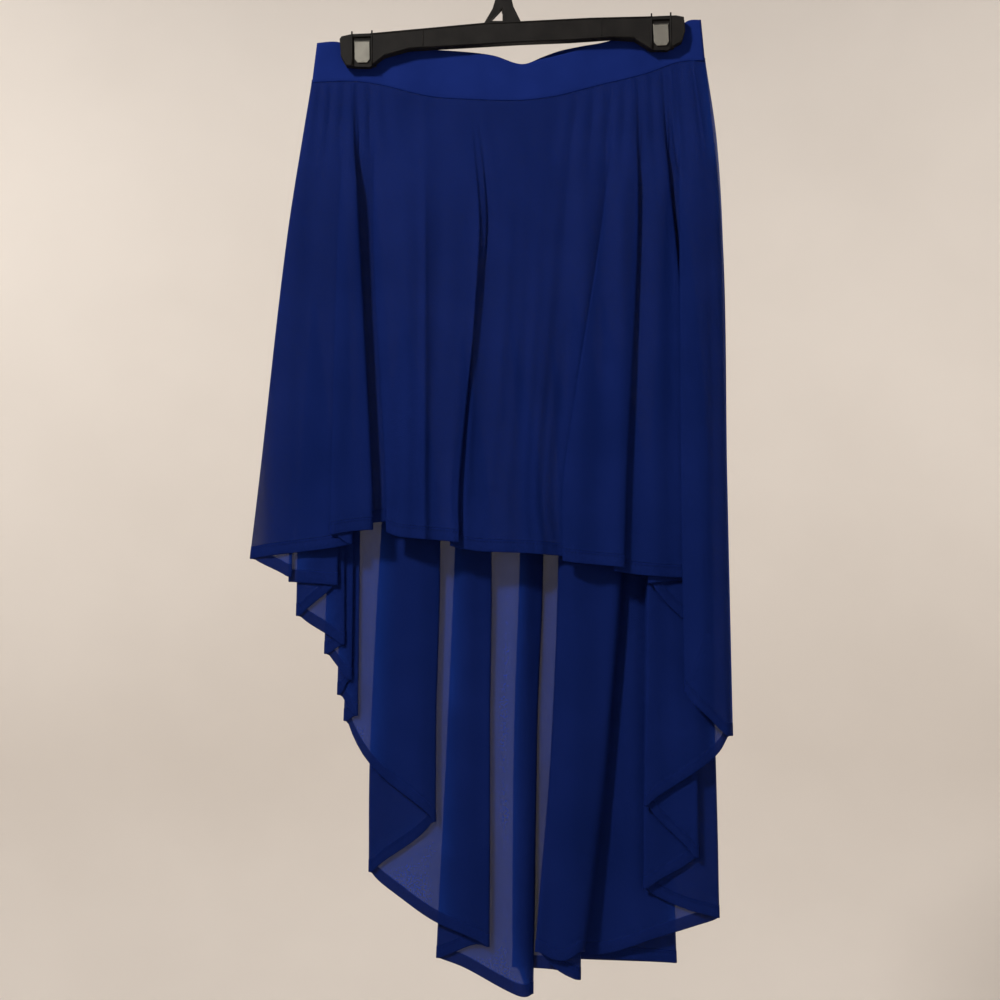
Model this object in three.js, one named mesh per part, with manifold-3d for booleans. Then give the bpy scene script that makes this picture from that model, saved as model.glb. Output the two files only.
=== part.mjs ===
// A high-low skirt of sheer knit on a clip hanger, in millimetres, +Z up.
// The origin is the inside top of the hook. The wearer's front faces -Y.
import * as THREE from "three";
import { mergeVertices } from "three/addons/utils/BufferGeometryUtils.js";
import Module from "manifold-3d";

const wasm = await Module();
wasm.setup();

const CLOTH_WALL = 1; // skirt panels
const HEM_WALL = 1.6; // the turned-up hem is two layers
const HEM_BAND = 13;
const HEM_STEP = 1.5; // height of the step from one layer to two
const WAIST_WALL = 1.7;
const SEAM_GAP = 0.3;
const CLOTH_Y = 9.5; // the garment hangs this far behind the hook

// How the folds open out below the waist seam.
const FOLD_DROP = 180; // the back's folds have their full depth this far down
const FRONT_FOLD_DROP = 120;
const LEAST_LAYER_DEPTH = 1.2; // between a fold's layers, before the cloth goes back over itself
const REACH_PER_DEPTH = 40; // and how far back it then reaches
const UNFOLDED_SPACE = 2.8; // between two turns that haven't folded back yet
const UNFOLDED_TURN = 0.7; // such a turn is this share of a half circle
const FOLDED_ROOM = 2.2; // room, in turn radii, at which it is all of it
const TURN_SPREAD = 0.6; // between such a turn's columns
const NEAREST_KNOT = 15; // a knot this near the hem gives way to it
const CREASE_SPACE = 4; // turns nearer than this for each crease between them share their way evenly
const LEAST_SHARE = 0.06;

// How finely the cloth is divided.
const SMALL_TURN = 3.2; // a turn of less radius has two steps, and another four
const RUN_STEP = 34; // between columns, low down
const SEAM_STEP = 17; // and at the waist seam
const RINGS = [-172, -196, -222, -248, -274, -300, -324, -348, -374, -404, -440, -485, -545];
const LOW_LEVELS = { front: [1], back: [0.3, 0.65, 1] }; // from the last ring to each hem's band
const WAIST_COLUMNS = 34;
const WAIST_END_COLUMNS = [0, 0.0016, 0.0045, 0.0078]; // shares of the width, where the band closes

// Tables give x across, z down from the hook and depth behind the garment's middle plane.
// x and z are as they look from EYE, so what lies deeper is that much larger.
const EYE = { x: -3.5, z: -560, distance: 1300 };

const MATERIALS = {
  cloth: new THREE.MeshStandardMaterial({ color: 0x12246b, roughness: 0.75, side: THREE.DoubleSide }),
  waistband: new THREE.MeshStandardMaterial({ color: 0x14286e, roughness: 0.8 }),
  plastic: new THREE.MeshStandardMaterial({ color: 0x211f1e, roughness: 0.45 }),
  metal: new THREE.MeshStandardMaterial({ color: 0xb8b6aa, roughness: 0.35, metalness: 0.9 }),
};

// What each number of a fold's row means. "turn" is the side that a fold's edge faces, and
// "crease" is a place where the cloth runs straight on. depth is the cloth's after the row.
const FRONT_COLUMNS = ["name", "turn", "seam", "yoke", "hip", "knee", "hem", "hemZ", "depth"];
const FRONT_KNOTS = { seam: null, yoke: -200, hip: -300, knee: -540 };

// Across the front, from the left side seam to the right one.
const FRONT_FOLDS = table(FRONT_COLUMNS, [
  ["left side", "left", -191.5, -201, -216.5, -244, -253.5, -619, -14],
  ["left panel", "crease", -182, -184, -194, -206, -214.5, -614, -13],
  ["left panel inner", "crease", -170.5, -174, -177, -181, -182, -608.5, -14.5],
  ["left pleat back", "right", -161, -163, -157, -152, -151.5, -604, -17],
  ["left pleat", "left", -158.5, -160, -166, -172.5, -173.5, -594.5, -20],
  ["left pleat face", "crease", -153.5, -154.5, -155, -156, -152, -591, -20.5],
  ["left pleat edge", "right", -149, -149, -143.5, -131, -130, -590, -13.5],
  ["recess left", "left", -146.5, -145.5, -149, -141, -141.5, -584, -7],
  ["recess right", "right", -132.5, -132.5, -123.5, -106, -105.5, -580, -11],
  ["recess edge", "left", -128, -129, -130.5, -118, -117.5, -592, -15],
  ["middle pleat", "crease", -111.5, -110, -108.5, -101.5, -99, -597, -16],
  ["bright crease", "crease", -80.5, -79.5, -78.5, -79, -78, -599.5, -19],
  ["centre pleat", "crease", -58.5, -54, -50, -62.5, -62.5, -601, -18],
  ["centre pleat edge", "right", -33.5, -29.5, -23.5, -44, -44.7, -602.5, -14],
  ["centre tuck", "left", -29.5, -23, -17.5, -51.5, -53.5, -606, -10],
  ["centre left", "crease", -8.5, -3, 1.5, -15.5, -15.5, -611.5, -11],
  ["centre", "crease", 26.5, 25, 24.5, 18.5, 18.5, -613, -9],
  ["centre right", "crease", 75, 70, 64.5, 46, 44, -615.5, -8],
  ["right tuck", "right", 104.5, 104, 100.5, 69.5, 70.5, -617, -11.5],
  ["right pleat", "left", 109, 107.5, 96, 59.5, 59, -621, -15],
  ["right pleat face", "crease", 122, 120, 115, 92.5, 90.5, -624.5, -17],
  ["right pleat edge", "right", 133.5, 134, 134.5, 123.5, 121.5, -627.5, -12.5],
  ["right recess", "left", 137, 137.5, 129.5, 112.5, 110.5, -631, -9],
  ["right panel", "crease", 147, 148, 151.5, 150.5, 150.5, -636.4, -10],
  ["right panel end", "right", 158, 162, 172.5, 194.5, 196.5, -639, -6],
  ["hidden return", "left", 162.5, 165, 160.5, 146.5, 144.5, -643, -2.5],
  ["hidden end", "right", 166.5, 170, 186, 206.5, 208.5, -705, -13],
  ["drape edge", "left", 170.5, 175.5, 176, 177.4, 181, -752, -17],
  ["drape face", "crease", 187, 194, 198.5, 201.5, 204.5, -776, -19],
  ["right side", "right", 201.5, 213, 219, 223.5, 229.2, -796, 3],
]);

// Round the back, from the right side seam to the left one.
const BACK_COLUMNS = ["name", "turn", "seam", "hip", "knee", "calf", "hem", "hemZ", "depth"];
const BACK_KNOTS = { seam: null, hip: -300, knee: -540, calf: -800 };
const BACK_FOLDS = table(BACK_COLUMNS, [
  ["right side", "right", 201.5, 219, 223.5, 229, 229.2, -796, 3],
  ["first swag", "crease", 190, 207, 208, 209, 209.5, -817.5, 2],
  ["first swag lower", "crease", 184, 196, 176.5, 168.5, 168.5, -850, 3],
  ["first swag tip", "left", 178, 184, 148.5, 141.5, 140.5, -866, 8.5],
  ["second swag", "right", 163.5, 175, 186.5, 193.5, 195.5, -918, 14],
  ["third swag", "left", 149, 163, 144.5, 140.5, 139.5, -949, 19],
  ["fourth swag", "crease", 137.5, 153, 184.5, 186.5, 186.5, -972, 19.5],
  ["right back edge", "right", 129, 144, 201.5, 211.5, 216.2, -978, 25],
  ["right back panel", "crease", 118.5, 133, 171.5, 186.5, 187.5, -984, 26],
  ["right back ridge", "crease", 108.5, 121, 142.5, 145.5, 145.5, -999, 23],
  ["right back trough", "crease", 100.5, 110, 118.5, 116.5, 119, -1014, 28],
  ["behind box pleat", "left", 91.5, 99, 96.5, 92.5, 70.5, -1016, 35],
  ["deep tab", "right", 65.5, 84, 146.5, 164.5, 173.5, -1023, 41],
  ["deep return", "left", 35.5, 66, 61.5, 58.5, 52.5, -1018, 24],
  ["box pleat right", "right", 26.5, 55, 116.5, 106, 82.5, -1012, 6],
  ["box pleat face", "crease", 20.5, 46, 86.5, 78, 61.5, -1026, 5],
  ["box pleat left", "left", 13.5, 37, 54.5, 48, 31, -1012, 12],
  ["box pleat inside", "crease", 7.5, 29, 66.5, 61.5, 56.5, -1035, 12.5],
  ["box pleat tab", "right", 1.5, 21, 76.5, 78.5, 77.5, -1040, 18],
  ["recess front", "crease", -5, 13, 62.5, 58.5, 56.5, -1029, 19],
  ["recess back", "crease", -10, 6, 41.5, 36.5, 34.5, -1028, 43],
  ["recess end", "left", -15.5, -2, 16.5, 10.5, 8.5, -1027, 38],
  ["long fold right", "right", -21.5, -9, 37, 33.5, 30, -1054, 33],
  ["long fold crest", "crease", -29.5, -17, 18.5, 13.5, 13.5, -1059, 28],
  ["long fold trough", "crease", -35.5, -25, -1.5, -3.5, -4.5, -1049, 31],
  ["long fold inner", "crease", -41.5, -33, -27.5, -33.5, -37.5, -1024, 32],
  ["long fold left", "left", -47.5, -41, -46, -56.5, -67.5, -1018, 28],
  ["left tab", "crease", -51.5, -47, -37.5, -45.5, -46.5, -1013, 27.5],
  ["left fold hidden", "crease", -56.5, -53, -27.5, -25.5, -27.5, -999, 26],
  ["left fold right", "right", -60.5, -59, -16, -13.5, -14, -1007, 22],
  ["left fold face", "crease", -69.5, -68, -48.5, -48.5, -49.5, -994, 20],
  ["left fold crease", "crease", -75.5, -76, -66, -66.5, -71.5, -982, 22.5],
  ["left fold inner", "crease", -83.5, -86, -93.5, -101.5, -102.5, -952, 22],
  ["left back edge", "left", -91.5, -96, -118.5, -133, -135, -932, 18],
  ["left swag under", "crease", -100.5, -104, -98.5, -103.5, -100.5, -909, 16.5],
  ["left swag tip", "right", -109.5, -112, -66.5, -67.5, -67.5, -882, 12.5],
  ["left swag", "crease", -117.5, -120, -91.5, -92.5, -92.5, -864, 12],
  ["left swag upper", "crease", -123.5, -127, -108.5, -114, -114, -843, 13],
  ["left swag crease", "crease", -128, -133, -124, -136, -136.5, -817, 12.6],
  ["left swag edge", "left", -134, -140, -150, -160, -160, -781, 10],
  ["fourth curl hidden", "right", -138.5, -145, -143.5, -145.5, -145.5, -776, 7.6],
  ["third curl", "left", -143.5, -151, -159, -166.5, -166.5, -755, 5.2],
  ["third curl hidden", "right", -148.5, -157, -150.5, -151.5, -151.5, -740, 2.8],
  ["second curl", "left", -155.5, -165, -172.5, -179.5, -179.5, -714, 0.4],
  ["second curl hidden", "right", -161.5, -173, -160.5, -158.5, -158.5, -705, -2],
  ["first curl", "left", -172.5, -186, -203.5, -207.5, -207.5, -676, -4.4],
  ["first curl hidden", "right", -180.5, -193, -167.5, -165.5, -165.5, -645, -6.8],
  ["left corner", "left", -186.5, -203, -212.5, -215, -215, -642, -9.2],
  ["left corner hidden", "right", -189, -207, -209.5, -211.5, -211.5, -637, -11.6],
  ["left side", "left", -191.5, -216.5, -244, -253.5, -253.5, -619, -14],
]);
const SIDE_DEPTH_LEFT = -11.6; // of the back where it meets the left side seam
const SIDE_DEPTH_RIGHT = -19; // of the front where it meets the right side seam

const SEAM_LOW = -160; // the waist seam's lowest height

// The waist seam's height, and the waistband's upper edge, against x.
const WAIST_SEAM = [
  [-192, -142.5], [-150, -141.3], [-119.5, -145.6], [-94.5, -152], [-71.5, -156.8], [-35.5, -159.3],
  [16.5, -160.3], [52.5, -156], [94.5, -145.6], [142.5, -133.7], [176, -122], [202, -120.5],
];
const WAIST_TOP = [
  [-188, -103], [-166, -101.8], [-152, -107.8], [-131, -108], [-80, -109.5], [-42.5, -111.5], [-10, -115.5],
  [17.5, -124], [38.5, -119], [66.5, -112.2], [87.5, -105.6], [130, -95], [145, -91.4], [171, -91.2],
  [184, -80.8], [198, -79.6],
];
// Half the gap between the waist's front and back layers: they part between the clips.
const WAIST_HALF_GAP = [
  [-192, 3], [-160, 1.4], [-141.5, 1.3], [-120, 1.4], [-80, 1.9], [-40, 3.3], [-10, 4.8], [35, 5],
  [70, 3.3], [120, 1.6], [157.7, 1.3], [176, 1.4], [202, 3],
];
const BACK_RISE = { x: 60, half: 40, height: 4 }; // where the back's upper edge shows above the front's
const WAIST_LEFT = { top: -186.5, bottom: -191.5 };
const WAIST_RIGHT = { top: 197.5, bottom: 201.5 };

// Clip hanger. Depths are the garment's, so its front is at -14.5.
const BAR = { front: -14.5, back: -4.5 };
const SOFT_EDGE = 0.7;
const CLIPS = { left: { x: -141.5, z: -100.4, tilt: -1 }, right: { x: 157.7, z: -83.2, tilt: -3 } };
const JAW = { width: 34, height: 26, thick: 4, faceGap: 0.35, bridge: 4.5, bridgeWidth: 24, rise: 1, intoBar: 2 };
const PAD = { width: 26, height: 20 }; // on the bar's back, against the waistband
const SLIDER = { width: 14.8, height: 21.6, thick: 1.2, gap: 0.35, sunk: 1, backDrop: 4, slotLength: 60 };
const RECESS = { side: 2, above: 4, below: 7, ahead: 8 }; // round a slider's front leg
const HOOK = {
  inside: 20,
  wire: 3.4,
  shankBottom: -78,
  straight: [1, 14], // heights over the shank's bottom
  bend: [[0.5, 8], [5, 1]], // x, and how far below the round
  angles: { from: -50, step: 17, to: 205 }, // of the round, in degrees from the right
  steps: 40,
  sides: 5,
  holeGap: 0.3,
  holeLength: 30,
};
const HUB = [
  [-19.5, -86], [18.5, -86], [18.5, -83], [10, -66], [8, -58], [-8, -58], [-11, -68], [-19.5, -82.5],
];
const HUB_WINDOW = [[-14, -80.5], [-1, -80.5], [-1, -67]];
const CUT_OVER = 1; // a cut runs this far past the faces it cuts
const SHARP = 0.01; // the bevel of a cut
const ROUND_SIDES = 16;
const HUB_SUNK = 1; // the hub is thinner than the bar by this on each side
const COLLAR = { top: -52, height: 12, topRadius: 4.5, bottomRadius: 6 };
const BAR_TOP = [
  [-164, -98.6], [-162, -96], [-151.5, -93.7], [-133.5, -93], [-19.5, -82.5], [16.5, -81], [86.5, -77.5],
  [148.5, -76], [172.5, -75], [180.5, -76.5],
];
const BAR_BOTTOM = [
  [182, -90], [179, -100.7], [164.5, -109], [148, -109], [131.2, -98.6], [108.5, -97.2], [66.5, -100],
  [16.5, -102], [-94.5, -108.4], [-119.5, -115.4], [-133.5, -126], [-143.5, -126], [-157.5, -125],
  [-162.8, -116],
];

function table(columns, rows) {
  return rows.map((row) => Object.fromEntries(columns.map((name, i) => [name, row[i]])));
}

const mix = (a, b, t) => a + (b - a) * t;
const clamp01 = (t) => Math.min(1, Math.max(0, t));
const ease = (t) => clamp01(t) ** 2 * (3 - 2 * clamp01(t));

// Straight-line reading of a table of [at, value] pairs.
function lookUp(pairs, at) {
  const i = Math.max(1, Math.min(pairs.length - 1, pairs.findIndex(([a]) => a > at)));
  const last = at >= pairs.at(-1)[0];
  const [a, b] = last ? [pairs.at(-2), pairs.at(-1)] : [pairs[i - 1], pairs[i]];
  return mix(a[1], b[1], clamp01((at - a[0]) / (b[0] - a[0])));
}

// A smooth curve through [at, value] knots, in order of at.
function curveThrough(knots, at) {
  if (knots.length === 1 || at <= knots[0][0]) return knots[0][1];
  if (at >= knots.at(-1)[0]) return knots.at(-1)[1];
  const i = knots.findIndex(([a]) => a > at);
  const slope = (j) => {
    const a = knots[Math.max(0, j - 1)];
    const b = knots[Math.min(knots.length - 1, j + 1)];
    return (b[1] - a[1]) / (b[0] - a[0]);
  };
  const [a, b] = [knots[i - 1], knots[i]];
  const h = b[0] - a[0];
  const t = (at - a[0]) / h;
  return (
    (1 + 2 * t) * (1 - t) ** 2 * a[1] + t * (1 - t) ** 2 * h * slope(i - 1) +
    t * t * (3 - 2 * t) * b[1] + t * t * (t - 1) * h * slope(i)
  );
}

// A place in the garment as it looks from EYE, put at its true depth.
function place(x, z, depth) {
  const scale = 1 + depth / EYE.distance;
  return new THREE.Vector3(
    EYE.x + (x - EYE.x) * scale,
    CLOTH_Y + depth,
    EYE.z + (z - EYE.z) * scale,
  );
}

// Depth of the waist's front (side -1) or back (side 1) at x, closing to 0 at both ends.
function waistDepth(x, side) {
  const half = lookUp(WAIST_HALF_GAP, x);
  const end = Math.min(x - WAIST_LEFT.bottom, WAIST_RIGHT.bottom - x);
  const round = clamp01(end / half);
  return side * half * Math.sqrt(1 - (1 - round) ** 2);
}

const facing = (row) => (row.turn === "right" ? 1 : row.turn === "left" ? -1 : 0);

// A row's x at z, by a smooth curve through its knots and its hem.
function tableX(row, knots, z) {
  const seamZ = curveThrough(WAIST_SEAM, row.seam);
  const down = Object.keys(knots)
    .map((k) => [k === "seam" ? 0 : seamZ - knots[k], row[k]])
    .filter(([d]) => d < seamZ - row.hemZ - NEAREST_KNOT);
  return curveThrough([...down, [seamZ - row.hemZ, row.hem]], seamZ - z);
}

// The shape of a panel's folds: each row's place at any height.
function panelFolds(folds, knots, side) {
  const forward = -side; // the way the rows run, as an x direction
  const drop = side < 0 ? FRONT_FOLD_DROP : FOLD_DROP;
  const turns = folds.map((row, i) => (facing(row) ? i : -1)).filter((i) => i >= 0);
  const depthBefore = (i) => (i ? folds[i - 1].depth : side < 0 ? SIDE_DEPTH_LEFT : SIDE_DEPTH_RIGHT);
  const radius = (i) => Math.abs(folds[i].depth - depthBefore(i)) / 2;
  const fall = (seamX, z) => ease((curveThrough(WAIST_SEAM, seamX) - z) / drop);

  // A crease's share of the way from the turn before it to the turn after it, at each knot.
  const shares = folds.map((row, i) => {
    if (facing(row)) return null;
    const before = turns.findLast((t) => t < i);
    const after = turns.find((t) => t > i);
    const place = i - before;
    const creases = after - before - 1;
    const shareAt = (k) => {
      const way = folds[after][k] - folds[before][k];
      if (Math.abs(way) < CREASE_SPACE * creases) return place / (creases + 1);
      const share = (row[k] - folds[before][k]) / way;
      return Math.min(1 - LEAST_SHARE * (creases + 1 - place), Math.max(LEAST_SHARE * place, share));
    };
    const levels = Object.entries(knots).map(([k, z]) => [z === null ? 0 : SEAM_LOW - z, shareAt(k)]);
    levels.push([SEAM_LOW - row.hemZ, shareAt("hem")]);
    return { before, after, levels: levels.sort((a, b) => a[0] - b[0]) };
  });

  // Every row's x at z. A fold reaches back only as far as the depth between its layers allows.
  function rowsAt(z) {
    const x = folds.map((row) => (facing(row) ? tableX(row, knots, z) : 0));
    turns.slice(0, -1).forEach((a, n) => {
      const b = turns[n + 1];
      if (facing(folds[a]) !== forward) return;
      const depth = 2 * Math.min(radius(a), radius(b)) * fall(folds[a].seam, z);
      const allowed = Math.max(0, depth - LEAST_LAYER_DEPTH) * REACH_PER_DEPTH - UNFOLDED_SPACE;
      const excess = forward * (x[a] - x[b]) - allowed;
      if (excess <= 0) return;
      x[a] -= (forward * excess) / 2;
      x[b] += (forward * excess) / 2;
    });
    shares.forEach((s, i) => {
      if (s) x[i] = mix(x[s.before], x[s.after], lookUp(s.levels, SEAM_LOW - z));
    });
    return x;
  }
  return { turns, depthBefore, radius, fall, rowsAt };
}

// A panel's columns: what each fold's row gives, with turns as short arcs and runs between them.
function panelColumns(folds, knots, side) {
  const { turns, depthBefore, radius, fall, rowsAt } = panelFolds(folds, knots, side);
  const marks = [];
  folds.forEach((row, i) => {
    const first = i === 0;
    const last = i === folds.length - 1;
    const before = depthBefore(i);
    const after = row.depth;
    const steps = !facing(row) ? 0 : radius(i) < SMALL_TURN ? 2 : 4;
    const beside = [turns.findLast((t) => t < i), turns.find((t) => t > i)].filter((t) => t !== undefined);
    for (let j = first ? steps / 2 : 0; j <= (last ? steps / 2 : steps); j++) {
      const spread = -side * (j - steps / 2) * TURN_SPREAD;
      marks.push({
        hemZ: row.hemZ,
        seamX: row.seam + spread,
        at(z) {
          const x = rowsAt(z);
          if (!steps) return [x[i], mix(waistDepth(row.seam, side), after, fall(row.seam, z))];
          const room = facing(row) * x[i] - Math.max(...beside.map((t) => facing(row) * x[t]));
          const widest = Math.max(radius(i), ...beside.map(radius));
          const back = clamp01(room / (FOLDED_ROOM * widest));
          const open = clamp01(-room / UNFOLDED_SPACE);
          const angle = Math.PI * (j / steps - 0.5) * mix(UNFOLDED_TURN, 1, back);
          const full = (before + after) / 2 + ((after - before) / 2) * Math.sin(angle);
          return [
            x[i] - facing(row) * radius(i) * (1 - Math.cos(angle)) * back + spread * open,
            mix(waistDepth(row.seam + spread, side), full, fall(row.seam, z)),
          ];
        },
      });
    }
  });
  const columns = [];
  marks.forEach((mark, i) => {
    columns.push(mark);
    const next = marks[i + 1];
    if (!next) return;
    const z = Math.max(mark.hemZ, next.hemZ);
    const low = Math.abs(mark.at(z)[0] - next.at(z)[0]) / RUN_STEP;
    const high = Math.abs(mark.seamX - next.seamX) / SEAM_STEP;
    const runs = Math.round(Math.max(low, high));
    for (let j = 1; j < runs; j++) {
      const t = j / runs;
      columns.push({
        hemZ: mix(mark.hemZ, next.hemZ, t),
        seamX: mix(mark.seamX, next.seamX, t),
        at(zz) {
          const a = mark.at(zz);
          const b = next.at(zz);
          return [mix(a[0], b[0], t), mix(a[1], b[1], t)];
        },
      });
    }
  });
  return columns;
}

// The heights of a column's rings, ending with the hem band as a step in the wall.
function columnRings(column, side) {
  const top = curveThrough(WAIST_SEAM, column.seamX) - SEAM_GAP;
  const bandTop = column.hemZ + HEM_BAND;
  const low = side < 0 ? LOW_LEVELS.front : LOW_LEVELS.back;
  const heights = [top, ...RINGS, ...low.map((level) => mix(RINGS.at(-1), bandTop, level))];
  return [
    ...heights.map((z) => ({ z, wall: CLOTH_WALL })),
    { z: bandTop - HEM_STEP, wall: HEM_WALL },
    { z: column.hemZ, wall: HEM_WALL },
  ];
}

// A closed wall round a grid of [x, depth] points: grid[column][ring] = {x, z, depth, wall}.
// It is thickened in its horizontal plane, the outside on the right of the columns' order.
function wallGeometry(grid) {
  const rings = grid[0].length;
  const outer = [];
  const inner = [];
  grid.forEach((column, c) => {
    column.forEach((p, r) => {
      const a = grid[Math.max(0, c - 1)][r];
      const b = grid[Math.min(grid.length - 1, c + 1)][r];
      const atSideSeam = c === 0 || c === grid.length - 1;
      const sideways = new THREE.Vector2(0, Math.sign(p.x));
      const da = atSideSeam ? sideways : new THREE.Vector2(p.x - a.x, p.depth - a.depth).normalize();
      const db = atSideSeam ? sideways : new THREE.Vector2(b.x - p.x, b.depth - p.depth).normalize();
      const along = da.clone().add(db).normalize();
      const normal = new THREE.Vector2(along.y, -along.x);
      const miter = Math.min(1.5, 1 / Math.max(0.3, normal.dot(new THREE.Vector2(da.y, -da.x))));
      const half = (p.wall / 2) * miter;
      outer.push(place(p.x + normal.x * half, p.z, p.depth + normal.y * half));
      inner.push(place(p.x - normal.x * half, p.z, p.depth - normal.y * half));
    });
  });
  const shift = outer.length;
  const index = [];
  const quad = (a, b, c, d) => index.push(a, b, c, a, c, d);
  const at = (c, r) => c * rings + r;
  for (let c = 0; c + 1 < grid.length; c++) {
    for (let r = 0; r + 1 < rings; r++) {
      const [a, b, d, e] = [at(c, r), at(c, r + 1), at(c + 1, r + 1), at(c + 1, r)];
      quad(a, b, d, e);
      quad(shift + a, shift + e, shift + d, shift + b);
    }
    const end = rings - 1;
    quad(at(c, 0), at(c + 1, 0), shift + at(c + 1, 0), shift + at(c, 0));
    quad(at(c, end), shift + at(c, end), shift + at(c + 1, end), at(c + 1, end));
  }
  const last = grid.length - 1;
  for (let r = 0; r + 1 < rings; r++) {
    quad(at(0, r), shift + at(0, r), shift + at(0, r + 1), at(0, r + 1));
    quad(at(last, r), at(last, r + 1), shift + at(last, r + 1), shift + at(last, r));
  }
  const geometry = new THREE.BufferGeometry().setFromPoints([...outer, ...inner]);
  return geometry.setIndex(index);
}

function skirtPanel(folds, knots, side) {
  const grid = panelColumns(folds, knots, side).map((column) =>
    columnRings(column, side).map(({ z, wall }) => {
      const [x, depth] = column.at(z);
      return { x, z, depth, wall };
    }),
  );
  parted(grid, side);
  return wallGeometry(grid);
}

// Moves a panel's two end columns back from the side seams by half the seam's gap.
function parted(grid, side) {
  for (const column of [grid[0], grid.at(-1)]) {
    for (const p of column) p.depth += (side * SEAM_GAP) / 2;
  }
}

function waistPanel(side) {
  const ends = WAIST_END_COLUMNS;
  const inside = Array.from({ length: WAIST_COLUMNS - 1 }, (_, i) => (i + 1) / WAIST_COLUMNS);
  const across = [...ends, ...inside, ...ends.map((t) => 1 - t).reverse()];
  const order = side < 0 ? across : across.reverse();
  const grid = order.map((t) =>
    [0, 0.5, 1].map((down) => {
      const left = mix(WAIST_LEFT.top, WAIST_LEFT.bottom, down);
      const right = mix(WAIST_RIGHT.top, WAIST_RIGHT.bottom, down);
      const x = mix(left, right, t);
      const seamX = mix(WAIST_LEFT.bottom, WAIST_RIGHT.bottom, t);
      const backRise = side > 0 ? BACK_RISE.height * ease(1 - Math.abs(x - BACK_RISE.x) / BACK_RISE.half) : 0;
      const z = mix(curveThrough(WAIST_TOP, x) + backRise, curveThrough(WAIST_SEAM, seamX), down);
      return { x, z, depth: waistDepth(seamX, side), wall: WAIST_WALL };
    }),
  );
  parted(grid, side);
  return wallGeometry(grid);
}

function toSolid(geometry) {
  const bare = geometry.clone();
  bare.deleteAttribute("normal");
  bare.deleteAttribute("uv");
  const merged = mergeVertices(bare, 1e-4);
  return new wasm.Manifold(
    new wasm.Mesh({
      numProp: 3,
      vertProperties: merged.attributes.position.array,
      triVerts: new Uint32Array(merged.index.array),
    }),
  );
}

function fromSolid(solid) {
  const { vertProperties, triVerts, numProp } = solid.getMesh();
  const points = [];
  for (let i = 0; i < vertProperties.length; i += numProp) {
    points.push(new THREE.Vector3(vertProperties[i], vertProperties[i + 1], vertProperties[i + 2]));
  }
  return new THREE.BufferGeometry().setFromPoints(points).setIndex([...triVerts]);
}

function named(name, geometry, material) {
  const mesh = new THREE.Mesh(geometry, material);
  mesh.name = name;
  return mesh;
}

// A box by its middle and size.
function block(x, y, z, width, depth, height, tilt = 0) {
  return new THREE.BoxGeometry(width, depth, height)
    .rotateY(THREE.MathUtils.degToRad(tilt))
    .translate(x, y, z);
}

// An outline in x and z, run from front to back with softened edges.
function plate(outline, front, back, soft = SOFT_EDGE) {
  const shape = new THREE.Shape(outline.map(([x, z]) => new THREE.Vector2(x, z)));
  const geometry = new THREE.ExtrudeGeometry(shape, {
    depth: back - front - 2 * soft,
    bevelEnabled: true,
    bevelThickness: soft,
    bevelSize: soft,
    bevelOffset: -soft,
    bevelSegments: 1,
    curveSegments: 8,
  });
  return geometry.rotateX(Math.PI / 2).translate(0, back - soft, 0);
}

const seenAt = (depth) => ([x, z]) => {
  const p = place(x, z, depth);
  return [p.x, p.z];
};

function clipPlace(clip) {
  const [x, z] = seenAt(BAR.front)([clip.x, clip.z]);
  return { x, z, tilt: clip.tilt };
}

// Half the depth that a clip grips: the waistband and the gaps on it.
const gripHalf = (clip) => lookUp(WAIST_HALF_GAP, clip.x) + WAIST_WALL / 2 + JAW.faceGap;

// The slot in the plastic that a slider's bridge passes through.
function sliderSlot(clip) {
  const { x, z, tilt } = clipPlace(clip);
  const { width, thick, gap, slotLength } = SLIDER;
  return block(x, CLOTH_Y, z - thick / 2, width + 2 * gap, slotLength, thick + 2 * gap, tilt);
}

// The recess in the bar's face where a slider's front leg lies.
function sliderRecess(clip) {
  const { x, z, tilt } = clipPlace(clip);
  const { width, height, thick, sunk } = SLIDER;
  const { side, above, below, ahead } = RECESS;
  const deep = thick + sunk + ahead;
  const floor = CLOTH_Y + BAR.front + thick + sunk;
  const middle = z - height / 2 + (above - below) / 2;
  const tall = height + above + below;
  return block(x, floor - deep / 2, middle, width + 2 * side, deep, tall, tilt);
}

// One clip's pad on the bar, its back jaw, and the bridge between them over the waistband.
function jawBlocks(clip) {
  const { x, z, tilt } = clipPlace(clip);
  const grip = gripHalf(clip);
  const middle = z - JAW.height / 2 + JAW.rise;
  const inBar = BAR.back - JAW.intoBar;
  const jawBack = grip + JAW.thick;
  return [
    block(x, CLOTH_Y + (inBar - grip) / 2, middle - JAW.rise, PAD.width, -grip - inBar, PAD.height, tilt),
    block(x, CLOTH_Y + grip + JAW.thick / 2, middle, JAW.width, JAW.thick, JAW.height, tilt),
    block(
      x, CLOTH_Y + (inBar + jawBack) / 2, z + JAW.bridge / 2 + SLIDER.thick / 2,
      JAW.bridgeWidth, jawBack - inBar, JAW.bridge, tilt,
    ),
  ];
}

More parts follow.
